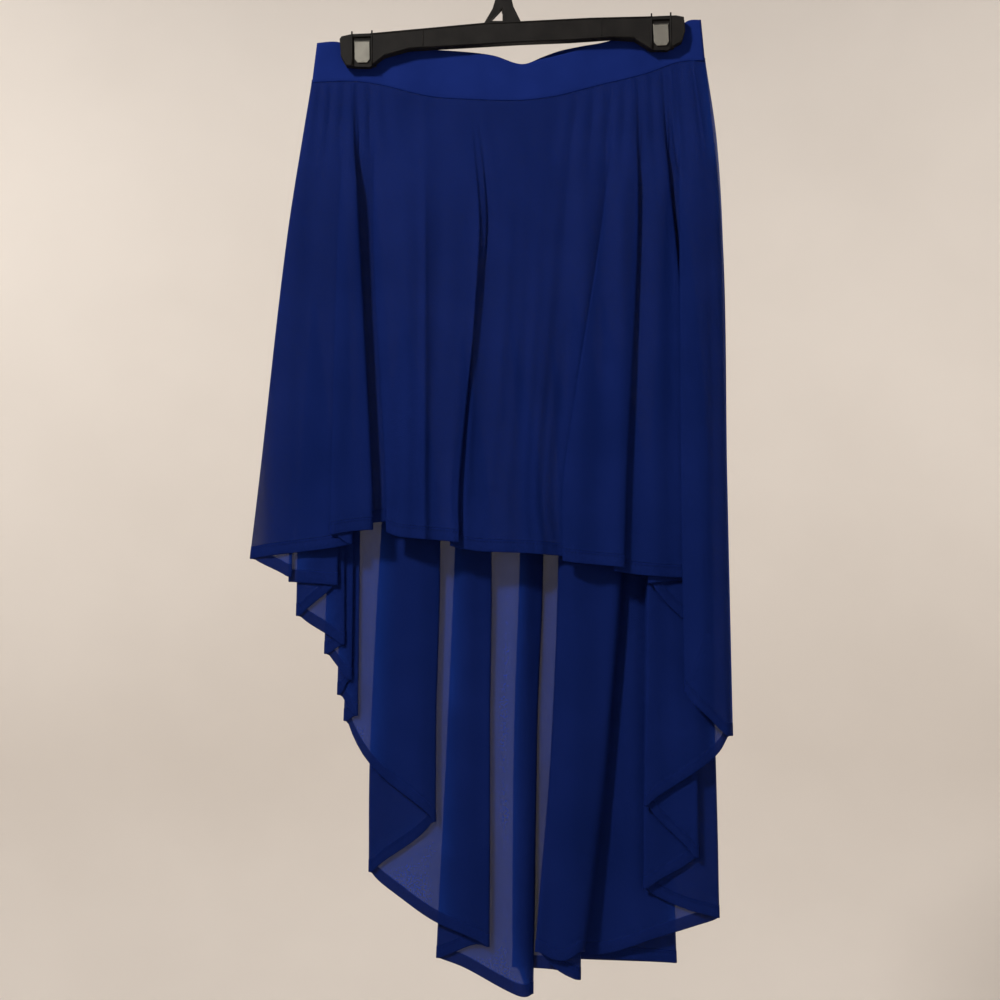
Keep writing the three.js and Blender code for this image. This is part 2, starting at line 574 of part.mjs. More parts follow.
function hangerBody() {
  const front = CLOTH_Y + BAR.front;
  const back = CLOTH_Y + BAR.back;
  const outline = [...BAR_TOP, ...BAR_BOTTOM].map(seenAt(BAR.front)).reverse();
  let body = toSolid(plate(outline, front, back));
  const hub = HUB.map(seenAt(BAR.front)).reverse();
  body = body.add(toSolid(plate(hub, front + HUB_SUNK, back - HUB_SUNK)));
  const window = HUB_WINDOW.map(seenAt(BAR.front));
  body = body.subtract(toSolid(plate(window, front - CUT_OVER, back + CUT_OVER, SHARP)));
  const collar = new THREE.CylinderGeometry(COLLAR.topRadius, COLLAR.bottomRadius, COLLAR.height, ROUND_SIDES);
  collar.rotateX(Math.PI / 2).translate(0, 0, COLLAR.top - COLLAR.height / 2);
  body = body.add(toSolid(collar));
  for (const clip of Object.values(CLIPS)) {
    for (const part of jawBlocks(clip)) body = body.add(toSolid(part));
    body = body.subtract(toSolid(sliderSlot(clip)));
    body = body.subtract(toSolid(sliderRecess(clip)));
  }
  const holeRadius = HOOK.wire / 2 + HOOK.holeGap;
  const hookHole = new THREE.CylinderGeometry(holeRadius, holeRadius, HOOK.holeLength, ROUND_SIDES);
  hookHole.rotateX(Math.PI / 2).translate(0, 0, HOOK.shankBottom + HOOK.holeLength / 2);
  return body.subtract(toSolid(hookHole));
}

// A U of sheet metal over both jaws.
function slider(clip) {
  const { x, z, tilt } = clipPlace(clip);
  const { width, height, thick, gap, sunk, backDrop } = SLIDER;
  const front = CLOTH_Y + BAR.front + sunk - gap;
  const back = CLOTH_Y + gripHalf(clip) + JAW.thick + gap;
  const parts = [
    block(x, front + thick / 2, z - height / 2, width, thick, height, tilt),
    block(x, back + thick / 2, z - (height - backDrop) / 2, width, thick, height - backDrop, tilt),
    block(x, (front + back + thick) / 2, z - thick / 2, width, back - front + thick, thick, tilt),
  ];
  return fromSolid(parts.map(toSolid).reduce((a, b) => a.add(b)));
}

// The wire: a straight shank, a bend to the right, then over the top to the tip.
function hookWire() {
  const r = HOOK.inside + HOOK.wire / 2;
  const centreZ = -HOOK.inside;
  const points = [
    ...HOOK.straight.map((up) => new THREE.Vector3(0, 0, HOOK.shankBottom + up)),
    ...HOOK.bend.map(([x, below]) => new THREE.Vector3(x, 0, centreZ - r - below)),
  ];
  const { from, step, to } = HOOK.angles;
  for (let angle = from; angle <= to; angle += step) {
    const a = THREE.MathUtils.degToRad(angle);
    points.push(new THREE.Vector3(r * Math.cos(a), 0, centreZ + r * Math.sin(a)));
  }
  const section = new THREE.Shape().absarc(0, 0, HOOK.wire / 2, 0, Math.PI * 2);
  return new THREE.ExtrudeGeometry(section, {
    extrudePath: new THREE.CatmullRomCurve3(points),
    steps: HOOK.steps,
    curveSegments: HOOK.sides,
    bevelEnabled: false,
  });
}

const skirt = new THREE.Group();
skirt.add(
  named("skirt_front", skirtPanel(FRONT_FOLDS, FRONT_KNOTS, -1), MATERIALS.cloth),
  named("skirt_back", skirtPanel(BACK_FOLDS, BACK_KNOTS, 1), MATERIALS.cloth),
  named("waistband_front", waistPanel(-1), MATERIALS.waistband),
  named("waistband_back", waistPanel(1), MATERIALS.waistband),
  named("hanger_body", fromSolid(hangerBody()), MATERIALS.plastic),
  named("clip_left", slider(CLIPS.left), MATERIALS.metal),
  named("clip_right", slider(CLIPS.right), MATERIALS.metal),
  named("hook", fromSolid(toSolid(hookWire())), MATERIALS.metal),
);

export default skirt;
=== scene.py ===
# Looks for a high-low skirt of sheer knit on a clip hanger.
# The tables are in millimetres, in the part's own frame: +Z up, the wearer's front faces -Y.
import math

import bmesh
import bpy
import numpy as np
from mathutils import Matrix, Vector


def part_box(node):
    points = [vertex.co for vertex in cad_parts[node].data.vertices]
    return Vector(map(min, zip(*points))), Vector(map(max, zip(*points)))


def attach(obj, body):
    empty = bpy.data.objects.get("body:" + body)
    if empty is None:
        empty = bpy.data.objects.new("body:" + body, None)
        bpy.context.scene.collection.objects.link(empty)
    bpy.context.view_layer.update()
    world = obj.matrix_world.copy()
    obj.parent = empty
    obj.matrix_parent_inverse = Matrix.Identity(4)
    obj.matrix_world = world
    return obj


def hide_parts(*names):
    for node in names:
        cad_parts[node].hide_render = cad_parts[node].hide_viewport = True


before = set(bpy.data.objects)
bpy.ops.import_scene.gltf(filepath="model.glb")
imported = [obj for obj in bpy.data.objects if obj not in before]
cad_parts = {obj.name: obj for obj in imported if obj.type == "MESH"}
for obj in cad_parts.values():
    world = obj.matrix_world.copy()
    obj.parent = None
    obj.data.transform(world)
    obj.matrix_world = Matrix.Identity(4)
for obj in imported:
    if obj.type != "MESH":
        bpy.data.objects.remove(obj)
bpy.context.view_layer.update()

MM = 0.001
EYE = {"x": -3.5, "z": -560, "distance": 1300}  # where the photo was taken from
CLOTH_Y = 9.5  # the garment hangs this far behind the hook
WALL = 0.7  # of the knit
HEM_WALL = 1.1
HEM_EDGE_WALL = 0.55  # at the hem's rounded edge
HEM_BAND = 13  # height of the turned-up hem
FOLD_DROP = {"front": 120, "back": 180}  # folds reach their full depth this far below the seam
LEAST_LAYER_DEPTH = 1.2  # between a fold's layers, before the cloth goes back over itself
REACH_PER_DEPTH = 40  # and how far back it then reaches
UNFOLDED_SPACE = 2.8  # between two turns that haven't folded back yet
UNFOLDED_TURN = 0.7  # such a turn is this share of a half circle
FOLDED_ROOM = 2.2  # room, in turn radii, at which it is all of it
TURN_STEPS = 8
TURN_SPREAD = 2.4  # of the waist seam that such a turn takes up
NEAREST_KNOT = 15  # a knot this near the hem gives way to it
CREASE_SPACE = 4  # turns nearer than this for each crease between them share their way evenly
LEAST_SHARE = 0.06

FRONT_FOLDS = [
    ("left side", "left", -191.5, -201, -216.5, -244, -253.5, -619, -14),
    ("left panel", "crease", -182, -184, -194, -206, -214.5, -614, -13),
    ("left panel inner", "crease", -170.5, -174, -177, -181, -182, -608.5, -14.5),
    ("left pleat back", "right", -161, -163, -157, -152, -151.5, -604, -17),
    ("left pleat", "left", -158.5, -160, -166, -172.5, -173.5, -594.5, -20),
    ("left pleat face", "crease", -153.5, -154.5, -155, -156, -152, -591, -20.5),
    ("left pleat edge", "right", -149, -149, -143.5, -131, -130, -590, -13.5),
    ("recess left", "left", -146.5, -145.5, -149, -141, -141.5, -584, -7),
    ("recess right", "right", -132.5, -132.5, -123.5, -106, -105.5, -580, -11),
    ("recess edge", "left", -128, -129, -130.5, -118, -117.5, -592, -15),
    ("middle pleat", "crease", -111.5, -110, -108.5, -101.5, -99, -597, -16),
    ("bright crease", "crease", -80.5, -79.5, -78.5, -79, -78, -599.5, -19),
    ("centre pleat", "crease", -58.5, -54, -50, -62.5, -62.5, -601, -18),
    ("centre pleat edge", "right", -33.5, -29.5, -23.5, -44, -44.7, -602.5, -14),
    ("centre tuck", "left", -29.5, -23, -17.5, -51.5, -53.5, -606, -10),
    ("centre left", "crease", -8.5, -3, 1.5, -15.5, -15.5, -611.5, -11),
    ("centre", "crease", 26.5, 25, 24.5, 18.5, 18.5, -613, -9),
    ("centre right", "crease", 75, 70, 64.5, 46, 44, -615.5, -8),
    ("right tuck", "right", 104.5, 104, 100.5, 69.5, 70.5, -617, -11.5),
    ("right pleat", "left", 109, 107.5, 96, 59.5, 59, -621, -15),
    ("right pleat face", "crease", 122, 120, 115, 92.5, 90.5, -624.5, -17),
    ("right pleat edge", "right", 133.5, 134, 134.5, 123.5, 121.5, -627.5, -12.5),
    ("right recess", "left", 137, 137.5, 129.5, 112.5, 110.5, -631, -9),
    ("right panel", "crease", 147, 148, 151.5, 150.5, 150.5, -636.4, -10),
    ("right panel end", "right", 158, 162, 172.5, 194.5, 196.5, -639, -6),
    ("hidden return", "left", 162.5, 165, 160.5, 146.5, 144.5, -643, -2.5),
    ("hidden end", "right", 166.5, 170, 186, 206.5, 208.5, -705, -13),
    ("drape edge", "left", 170.5, 175.5, 176, 177.4, 181, -752, -17),
    ("drape face", "crease", 187, 194, 198.5, 201.5, 204.5, -776, -19),
    ("right side", "right", 201.5, 213, 219, 223.5, 229.2, -796, 3),
]

BACK_FOLDS = [
    ("right side", "right", 201.5, 219, 223.5, 229, 229.2, -796, 3),
    ("first swag", "crease", 190, 207, 208, 209, 209.5, -817.5, 2),
    ("first swag lower", "crease", 184, 196, 176.5, 168.5, 168.5, -850, 3),
    ("first swag tip", "left", 178, 184, 148.5, 141.5, 140.5, -866, 8.5),
    ("second swag", "right", 163.5, 175, 186.5, 193.5, 195.5, -918, 14),
    ("third swag", "left", 149, 163, 144.5, 140.5, 139.5, -949, 19),
    ("fourth swag", "crease", 137.5, 153, 184.5, 186.5, 186.5, -972, 19.5),
    ("right back edge", "right", 129, 144, 201.5, 211.5, 216.2, -978, 25),
    ("right back panel", "crease", 118.5, 133, 171.5, 186.5, 187.5, -984, 26),
    ("right back ridge", "crease", 108.5, 121, 142.5, 145.5, 145.5, -999, 23),
    ("right back trough", "crease", 100.5, 110, 118.5, 116.5, 119, -1014, 28),
    ("behind box pleat", "left", 91.5, 99, 96.5, 92.5, 70.5, -1016, 35),
    ("deep tab", "right", 65.5, 84, 146.5, 164.5, 173.5, -1023, 41),
    ("deep return", "left", 35.5, 66, 61.5, 58.5, 52.5, -1018, 24),
    ("box pleat right", "right", 26.5, 55, 116.5, 106, 82.5, -1012, 6),
    ("box pleat face", "crease", 20.5, 46, 86.5, 78, 61.5, -1026, 5),
    ("box pleat left", "left", 13.5, 37, 54.5, 48, 31, -1012, 12),
    ("box pleat inside", "crease", 7.5, 29, 66.5, 61.5, 56.5, -1035, 12.5),
    ("box pleat tab", "right", 1.5, 21, 76.5, 78.5, 77.5, -1040, 18),
    ("recess front", "crease", -5, 13, 62.5, 58.5, 56.5, -1029, 19),
    ("recess back", "crease", -10, 6, 41.5, 36.5, 34.5, -1028, 43),
    ("recess end", "left", -15.5, -2, 16.5, 10.5, 8.5, -1027, 38),
    ("long fold right", "right", -21.5, -9, 37, 33.5, 30, -1054, 33),
    ("long fold crest", "crease", -29.5, -17, 18.5, 13.5, 13.5, -1059, 28),
    ("long fold trough", "crease", -35.5, -25, -1.5, -3.5, -4.5, -1049, 31),
    ("long fold inner", "crease", -41.5, -33, -27.5, -33.5, -37.5, -1024, 32),
    ("long fold left", "left", -47.5, -41, -46, -56.5, -67.5, -1018, 28),
    ("left tab", "crease", -51.5, -47, -37.5, -45.5, -46.5, -1013, 27.5),
    ("left fold hidden", "crease", -56.5, -53, -27.5, -25.5, -27.5, -999, 26),
    ("left fold right", "right", -60.5, -59, -16, -13.5, -14, -1007, 22),
    ("left fold face", "crease", -69.5, -68, -48.5, -48.5, -49.5, -994, 20),
    ("left fold crease", "crease", -75.5, -76, -66, -66.5, -71.5, -982, 22.5),
    ("left fold inner", "crease", -83.5, -86, -93.5, -101.5, -102.5, -952, 22),
    ("left back edge", "left", -91.5, -96, -118.5, -133, -135, -932, 18),
    ("left swag under", "crease", -100.5, -104, -98.5, -103.5, -100.5, -909, 16.5),
    ("left swag tip", "right", -109.5, -112, -66.5, -67.5, -67.5, -882, 12.5),
    ("left swag", "crease", -117.5, -120, -91.5, -92.5, -92.5, -864, 12),
    ("left swag upper", "crease", -123.5, -127, -108.5, -114, -114, -843, 13),
    ("left swag crease", "crease", -128, -133, -124, -136, -136.5, -817, 12.6),
    ("left swag edge", "left", -134, -140, -150, -160, -160, -781, 10),
    ("fourth curl hidden", "right", -138.5, -145, -143.5, -145.5, -145.5, -776, 7.6),
    ("third curl", "left", -143.5, -151, -159, -166.5, -166.5, -755, 5.2),
    ("third curl hidden", "right", -148.5, -157, -150.5, -151.5, -151.5, -740, 2.8),
    ("second curl", "left", -155.5, -165, -172.5, -179.5, -179.5, -714, 0.4),
    ("second curl hidden", "right", -161.5, -173, -160.5, -158.5, -158.5, -705, -2),
    ("first curl", "left", -172.5, -186, -203.5, -207.5, -207.5, -676, -4.4),
    ("first curl hidden", "right", -180.5, -193, -167.5, -165.5, -165.5, -645, -6.8),
    ("left corner", "left", -186.5, -203, -212.5, -215, -215, -642, -9.2),
    ("left corner hidden", "right", -189, -207, -209.5, -211.5, -211.5, -637, -11.6),
    ("left side", "left", -191.5, -216.5, -244, -253.5, -253.5, -619, -14),
]

WAIST_SEAM = [
    (-192, -142.5), (-150, -141.3), (-119.5, -145.6), (-94.5, -152), (-71.5, -156.8), (-35.5, -159.3),
    (16.5, -160.3), (52.5, -156), (94.5, -145.6), (142.5, -133.7), (176, -122), (202, -120.5),
]

WAIST_TOP = [
    (-188, -103), (-166, -101.8), (-152, -107.8), (-131, -108), (-80, -109.5), (-42.5, -111.5), (-10, -115.5),
    (17.5, -124), (38.5, -119), (66.5, -112.2), (87.5, -105.6), (130, -95), (145, -91.4), (171, -91.2),
    (184, -80.8), (198, -79.6),
]

WAIST_HALF_GAP = [
    (-192, 3), (-160, 1.4), (-141.5, 1.3), (-120, 1.4), (-80, 1.9), (-40, 3.3), (-10, 4.8), (35, 5),
    (70, 3.3), (120, 1.6), (157.7, 1.3), (176, 1.4), (202, 3),
]

BAR_TOP = [
    (-164, -98.6), (-162, -96), (-151.5, -93.7), (-133.5, -93), (-19.5, -82.5), (16.5, -81), (86.5, -77.5),
    (148.5, -76), (172.5, -75), (180.5, -76.5),
]

BAR_BOTTOM = [
    (182, -90), (179, -100.7), (164.5, -109), (148, -109), (131.2, -98.6), (108.5, -97.2), (66.5, -100),
    (16.5, -102), (-94.5, -108.4), (-119.5, -115.4), (-133.5, -126), (-143.5, -126), (-157.5, -125),
    (-162.8, -116),
]

FRONT_COLUMNS = ("name", "turn", "seam", "yoke", "hip", "knee", "hem", "hem_z", "depth")
BACK_COLUMNS = ("name", "turn", "seam", "hip", "knee", "calf", "hem", "hem_z", "depth")
KNOTS = {
    "front": {"seam": None, "yoke": -200, "hip": -300, "knee": -540},
    "back": {"seam": None, "hip": -300, "knee": -540, "calf": -800},
}
SIDE_DEPTH_LEFT = -11.6  # of the back where it meets the left side seam
SIDE_DEPTH_RIGHT = -19  # of the front where it meets the right side seam
SEAM_LEVEL = -160  # knots' heights are taken from here when creases share the way between two turns
WAIST_LEFT = {"top": -186.5, "bottom": -191.5}
WAIST_RIGHT = {"top": 197.5, "bottom": 201.5}
FOLDS = {
    "front": [dict(zip(FRONT_COLUMNS, row)) for row in FRONT_FOLDS],
    "back": [dict(zip(BACK_COLUMNS, row)) for row in BACK_FOLDS],
}

# Heights at which the folds are worked out, from above the waist seam to below the hems.
GRID_Z = -np.arange(112, 1068, 4.0)


def mix(a, b, t):
    return a + (b - a) * t


def ease(t):
    t = np.clip(t, 0, 1)
    return t * t * (3 - 2 * t)


def curve_through(knots, at):
    """A smooth curve through (at, value) knots, read at each of an array's places."""
    places, values = np.array(knots, float).T
    at = np.clip(np.asarray(at, float), places[0], places[-1])
    if len(places) == 1:
        return np.full_like(at, values[0])
    before = np.concatenate([[0], np.arange(len(places) - 1)])
    after = np.concatenate([np.arange(1, len(places)), [len(places) - 1]])
    slope = (values[after] - values[before]) / (places[after] - places[before])
    i = np.clip(np.searchsorted(places, at, side="right") - 1, 0, len(places) - 2)
    h = places[i + 1] - places[i]
    t = (at - places[i]) / h
    return (
        (1 + 2 * t) * (1 - t) ** 2 * values[i]
        + t * (1 - t) ** 2 * h * slope[i]
        + t * t * (3 - 2 * t) * values[i + 1]
        + t * t * (t - 1) * h * slope[i + 1]
    )


def look_up(pairs, at):
    places, values = np.array(pairs, float).T
    return np.interp(at, places, values)


def placed(x, z, depth):
    """Points in metres for places as they look from EYE, put at their true depth."""
    scale = 1 + depth / EYE["distance"]
    return MM * np.stack(
        [EYE["x"] + (x - EYE["x"]) * scale, CLOTH_Y + depth + 0 * x, EYE["z"] + (z - EYE["z"]) * scale],
        axis=-1,
    )


def waist_depth(x, side):
    half = look_up(WAIST_HALF_GAP, x)
    end = np.minimum(x - WAIST_LEFT["bottom"], WAIST_RIGHT["bottom"] - x)
    closing = np.clip(end / half, 0, 1)
    return side * half * np.sqrt(1 - (1 - closing) ** 2)


def facing(row):
    return {"right": 1, "left": -1, "crease": 0}[row["turn"]]


def table_x(row, knots):
    """A row's x at each height of the grid."""
    seam_z = float(curve_through(WAIST_SEAM, row["seam"]))
    down = [(0 if z is None else seam_z - z, row[k]) for k, z in knots.items()]
    hem = seam_z - row["hem_z"]
    down = [pair for pair in down if pair[0] < hem - NEAREST_KNOT]
    return curve_through(down + [(hem, row["hem"])], seam_z - GRID_Z)


def crease_shares(folds, turns, knots):
    """Each crease's share of the way between the turns beside it, at each height of the grid."""
    shares = {}
    for i, row in enumerate(folds):
        if facing(row):
            continue
        before = max(t for t in turns if t < i)
        after = min(t for t in turns if t > i)
        place, creases = i - before, after - before - 1

        def share_at(knot):
            way = folds[after][knot] - folds[before][knot]
            if abs(way) < CREASE_SPACE * creases:
                return place / (creases + 1)
            share = (row[knot] - folds[before][knot]) / way
            return min(1 - LEAST_SHARE * (creases + 1 - place), max(LEAST_SHARE * place, share))

        levels = [(0 if z is None else SEAM_LEVEL - z, share_at(k)) for k, z in knots.items()]
        levels = sorted(levels + [(SEAM_LEVEL - row["hem_z"], share_at("hem"))])
        shares[i] = (before, after, look_up(levels, SEAM_LEVEL - GRID_Z))
    return shares


def fold_marks(panel):
    """The places along a panel that its folds are made of, each with its x and depth at every height."""
    folds, knots = FOLDS[panel], KNOTS[panel]
    side = -1 if panel == "front" else 1
    forward = -side
    turns = [i for i, row in enumerate(folds) if facing(row)]
    start = SIDE_DEPTH_RIGHT if side > 0 else SIDE_DEPTH_LEFT
    depth_before = [start] + [row["depth"] for row in folds[:-1]]
    radius = [abs(row["depth"] - before) / 2 for row, before in zip(folds, depth_before)]
    fall = [
        ease((float(curve_through(WAIST_SEAM, row["seam"])) - GRID_Z) / FOLD_DROP[panel]) for row in folds
    ]
    x = [table_x(row, knots) for row in folds]
    for a, b in zip(turns, turns[1:]):
        if facing(folds[a]) != forward:
            continue
        depth = 2 * min(radius[a], radius[b]) * fall[a]
        allowed = np.maximum(0, depth - LEAST_LAYER_DEPTH) * REACH_PER_DEPTH - UNFOLDED_SPACE
        excess = np.maximum(0, forward * (x[a] - x[b]) - allowed)
        x[a] = x[a] - forward * excess / 2
        x[b] = x[b] + forward * excess / 2
    for i, (before, after, share) in crease_shares(folds, turns, knots).items():
        x[i] = mix(x[before], x[after], share)

    marks = []
    for i, row in enumerate(folds):
        first, last = i == 0, i == len(folds) - 1
        steps = TURN_STEPS if facing(row) else 0
        beside = [t for t in turns if t < i][-1:] + [t for t in turns if t > i][:1]
        for j in range(steps // 2 if first else 0, (steps // 2 if last else steps) + 1):
            angle = math.pi * (j / steps - 0.5) if steps else 0
            spread = -side * (j / steps - 0.5) * TURN_SPREAD if steps else 0
            seam_depth = waist_depth(row["seam"] + spread, side)
            if steps:
                room = facing(row) * x[i] - np.max([facing(row) * x[t] for t in beside], axis=0)
                widest = max([radius[i]] + [radius[t] for t in beside])
                back = np.clip(room / (FOLDED_ROOM * widest), 0, 1)
                opened = np.clip(-room / UNFOLDED_SPACE, 0, 1)
                bulge = facing(row) * radius[i] * (1 - math.cos(angle)) * back
                mark_x = x[i] - bulge + spread * opened
                turned = np.sin(angle * mix(UNFOLDED_TURN, 1, back))
                full = mix(depth_before[i], row["depth"], 0.5 + 0.5 * turned)
            else:
                mark_x, full = x[i], row["depth"]
            marks.append({
                "seam": row["seam"] + spread, "hem_z": row["hem_z"], "x": mark_x,
                "depth": mix(seam_depth, full, fall[i]), "in_turn": steps > 0,
                "edge": steps > 0 and j == steps // 2,
            })
    return marks


RUN_STEP = {"front": 6.0, "back": 7.0}  # between a panel's columns, low down
SEAM_STEP = 1.5  # and at the waist seam
HEM_ROUND = 70  # over this height the turns grow rounder towards the hem
HEM_PASSES = 8
HEM_CURVE = 0.75  # how far it eases each way between two turns
LEAST_WAY = 12  # between turns that this is done for
CREASE_PASSES = 5
SOFTENING = {"turn": 0.12, "crease": 0.5}  # how far each pass takes a column to the middle of its neighbours


def eased_ways(x, edges, near_hem):
    """Columns between two turns' edges drawn towards them, so that the hem runs round each turn."""
    for a, b in zip(edges, edges[1:]):
        way = x[b] - x[a]
        wide = np.abs(way) > LEAST_WAY
        share = np.where(wide, (x[a:b + 1] - x[a]) / np.where(wide, way, 1), 0)
        inside = np.clip(share, 0, 1)
        moved = inside * inside * (3 - 2 * inside) - inside
        x[a:b + 1] += np.where(wide, way, 0) * moved * HEM_CURVE * near_hem[a:b + 1]


def panel_columns(panel):
    """Evenly spaced columns through the marks, with the creases softened."""
    marks = fold_marks(panel)
    seam, hem_z, x, depth, soft, edges = [], [], [], [], [], []
    for mark, after in zip(marks, marks[1:] + [None]):
        runs = 1
        if mark["edge"]:
            edges.append(len(seam))
        if after:
            low = np.abs(mark["x"] - after["x"])[GRID_Z > max(mark["hem_z"], after["hem_z"])][-1]
            runs = max(1, round(max(low / RUN_STEP[panel], abs(mark["seam"] - after["seam"]) / SEAM_STEP)))
        for j in range(runs):
            t = j / runs
            other = after or mark
            seam.append(mix(mark["seam"], other["seam"], t))
            hem_z.append(mix(mark["hem_z"], other["hem_z"], t))
            x.append(mix(mark["x"], other["x"], t))
            depth.append(mix(mark["depth"], other["depth"], t))
            soft.append(SOFTENING["turn" if mark["in_turn"] and j == 0 else "crease"])
    seam, hem_z, x, depth, soft = (np.array(v) for v in (seam, hem_z, x, depth, soft))
    for _ in range(CREASE_PASSES):
        for v in (x, depth):
            v[1:-1] += soft[1:-1, None] * ((v[:-2] + v[2:]) / 2 - v[1:-1])
        hem_z[1:-1] += soft[1:-1] * ((hem_z[:-2] + hem_z[2:]) / 2 - hem_z[1:-1])
    near_hem = ease(1 - (GRID_Z[None, :] - hem_z[:, None]) / HEM_ROUND)
    eased_ways(x, edges, near_hem)
    for _ in range(HEM_PASSES):
        x[1:-1] += SOFTENING["crease"] * near_hem[1:-1] * ((x[:-2] + x[2:]) / 2 - x[1:-1])
    return seam, hem_z, x, depth


# Soft gathers under the waist seam: x at the seam, drift over the fall, half width, fall, height.
GATHERS = {
    "front": [
        (-186, -9, 3.2, 150, 2.6), (-176, -6, 3.4, 130, 3.0), (-165, -3, 3.6, 170, 3.2),
        (-153, -1, 3.2, 140, 3.4), (-140, 2, 4.0, 190, 3.6), (-126, 3, 4.0, 120, 2.6),
        (-111, 1, 4.5, 90, 1.6), (-80, 0, 4.5, 240, 1.4),
        (-49, 1, 6.0, 100, 0.9), (-22, 0, 4.5, 220, 1.2), (8, 0, 7.0, 90, 0.8), (42, -2, 6.0, 110, 1.0),
        (66, -4, 4.5, 150, 1.8), (83, -4, 4.5, 210, 2.6), (99.5, -4, 4.6, 190, 3.6), (115, -4, 4.2, 170, 3.4),
        (128, 0, 3.8, 200, 3.6), (141, 4, 3.8, 170, 3.8), (152, 6, 3.4, 190, 3.4), (164, 8, 3.6, 210, 3.8),
        (182, 8, 3.8, 170, 3.6), (193, 8, 3.0, 140, 2.4),
    ],
    "back": [
        (-184, -9, 3.6, 150, 2.6), (-170, -7, 3.8, 170, 3.2), (-156, -5, 3.6, 130, 3.0),
        (-141, -3, 4.0, 190, 3.4), (-124, -2, 4.2, 150, 3.0), (-107, -2, 4.2, 180, 3.4),
        (-88, 0, 4.4, 130, 2.6), (-70, 2, 4.4, 190, 3.2),
        (-51, 0, 4.2, 140, 2.8), (-33, 1, 4.6, 170, 3.4), (-13, 0, 4.4, 120, 2.4), (6, 2, 4.6, 190, 3.2),
        (27, 3, 4.6, 140, 2.8), (47, 1, 4.2, 170, 3.2), (66, -1, 4.2, 120, 2.6), (86, 3, 4.6, 180, 3.4),
        (107, 2, 4.2, 150, 2.8), (126, 4, 4.2, 170, 3.2), (145, 5, 4.0, 140, 3.0), (163, 6, 3.8, 180, 3.2),
        (179, 6, 3.6, 130, 2.8), (192, 8, 3.2, 120, 2.2),
    ],
}
GATHER_START = 14  # a gather rises to its full height over this much cloth
GATHER_WIDENING = 1.2
GATHER_SHARPNESS = 0.6


def gather_depth(panel, seam, z, seam_z):
    """How far the gathers push the cloth outwards, as a depth, at a place on a panel."""
    down = seam_z - z
    total = np.zeros_like(z)
    for x, drift, half_width, fall, height in GATHERS[panel]:
        t = np.clip(down / fall, 0, 1)
        across = (seam - x - drift * t) / (half_width * (1 + GATHER_WIDENING * t))
        crown = height * np.exp(-GATHER_SHARPNESS * across ** 2)
        total = np.maximum(total, crown * ease(down / GATHER_START) * (1 - ease(t)))
    return -total if panel == "front" else total


# Soft upright folds: x at the top, x at the bottom, top, bottom, half width, depth.
SOFT_FOLDS = {
    "front": [
        (-150, -171, -180, -600, 9, -2.2), (-137, -122, -170, -560, 7, 2.4),
        (-100, -100, -190, -590, 12, -1.6), (-79, -79, -200, -600, 3.4, -2.6),
        (-64, -66, -210, -590, 9, 2.0), (-22, -37, -230, -560, 3.6, -2.4),
        (-8, -20, -220, -600, 10, 1.6), (30, 28, -200, -620, 20, -1.4), (66, 52, -190, -620, 9, 2.2),
        (84, 74, -190, -615, 10, -2.6), (104, 96, -180, -610, 9, 1.8), (118, 116, -190, -620, 8, -2.2),
        (134, 130, -180, -620, 7, 2.4), (152, 152, -190, -620, 9, -2.0), (168, 168, -170, -630, 6, 2.0),
        (188, 197, -180, -760, 11, -2.6), (209, 221, -200, -760, 8, 1.6), (-200, -228, -190, -600, 11, -1.8),
    ],
    "back": [
        (-170, -180, -190, -700, 10, 2.0), (-112, -112, -190, -820, 9, 2.2), (-84, -84, -200, -900, 9, -2.0),
        (-58, -60, -190, -960, 10, 2.2), (-34, -36, -200, -960, 7, -2.0), (-10, 8, -190, -1040, 8, 2.4),
        (22, 24, -200, -1040, 7, -2.2), (48, 46, -190, -1000, 7, 1.8), (72, 70, -190, -1000, 8, -2.0),
        (98, 98, -200, -1000, 10, 2.2), (126, 132, -190, -980, 9, -2.2), (156, 166, -190, -960, 9, 2.0),
        (182, 196, -190, -940, 8, -1.8), (204, 208, -200, -800, 7, 1.6),
    ],
}
SOFT_FADE = 110  # over this height a soft fold begins and ends


def soft_fold_depth(panel, x, z):
    """The soft folds' push at places on a panel, the same for all its layers there."""
    total = np.zeros_like(z)
    for x_top, x_low, top, low, half_width, depth in SOFT_FOLDS[panel]:
        t = np.clip((top - z) / (top - low), 0, 1)
        fade = ease((top - z) / SOFT_FADE) * ease((z - low + SOFT_FADE) / SOFT_FADE)
        total += depth * fade * np.exp(-((x - mix(x_top, x_low, t)) / half_width) ** 2)
    return total


# Ripples of the hanging knit: height, width and fall for each radian, and share of the panel's shift.
RIPPLES = [(0.55, 7.3, 190, 1.0), (0.4, 3.1, -120, 2.4)]
RIPPLE_SHIFT = {"front": 1.0, "back": 1.7}
RIPPLE_TOP = -150
RIPPLE_GROWTH = 350  # they grow to their full height over this fall


def ripple_depth(panel, seam, z):
    """The slight unevenness of hanging knit, which grows towards the hem."""
    shift = RIPPLE_SHIFT[panel]
    waves = [height * np.sin(seam / width + z / fall + part * shift) for height, width, fall, part in RIPPLES]
    return ease((RIPPLE_TOP - z) / RIPPLE_GROWTH) * sum(waves)


SEAM_RINGS = np.array([2.5, -0.4, -4])  # heights over the waist seam
COMMON_END = -545  # rings have the same heights in all columns down to here
COMMON_RINGS = np.arange(-168, COMMON_END - 1, -12.0)
LOW_RINGS = {"front": 3, "back": 26}  # from there down to just above the turned-up hem
ABOVE_HEM_BAND = 1.6
HEM_TOP_RINGS = np.array([0.4, -0.6, -2.6])  # heights over the top of the turned-up hem
HEM_LOW_RINGS = np.array([6.5, 0.9, 0])  # heights over its edge
HEM_RINGS = 5  # of these six are two layers thick


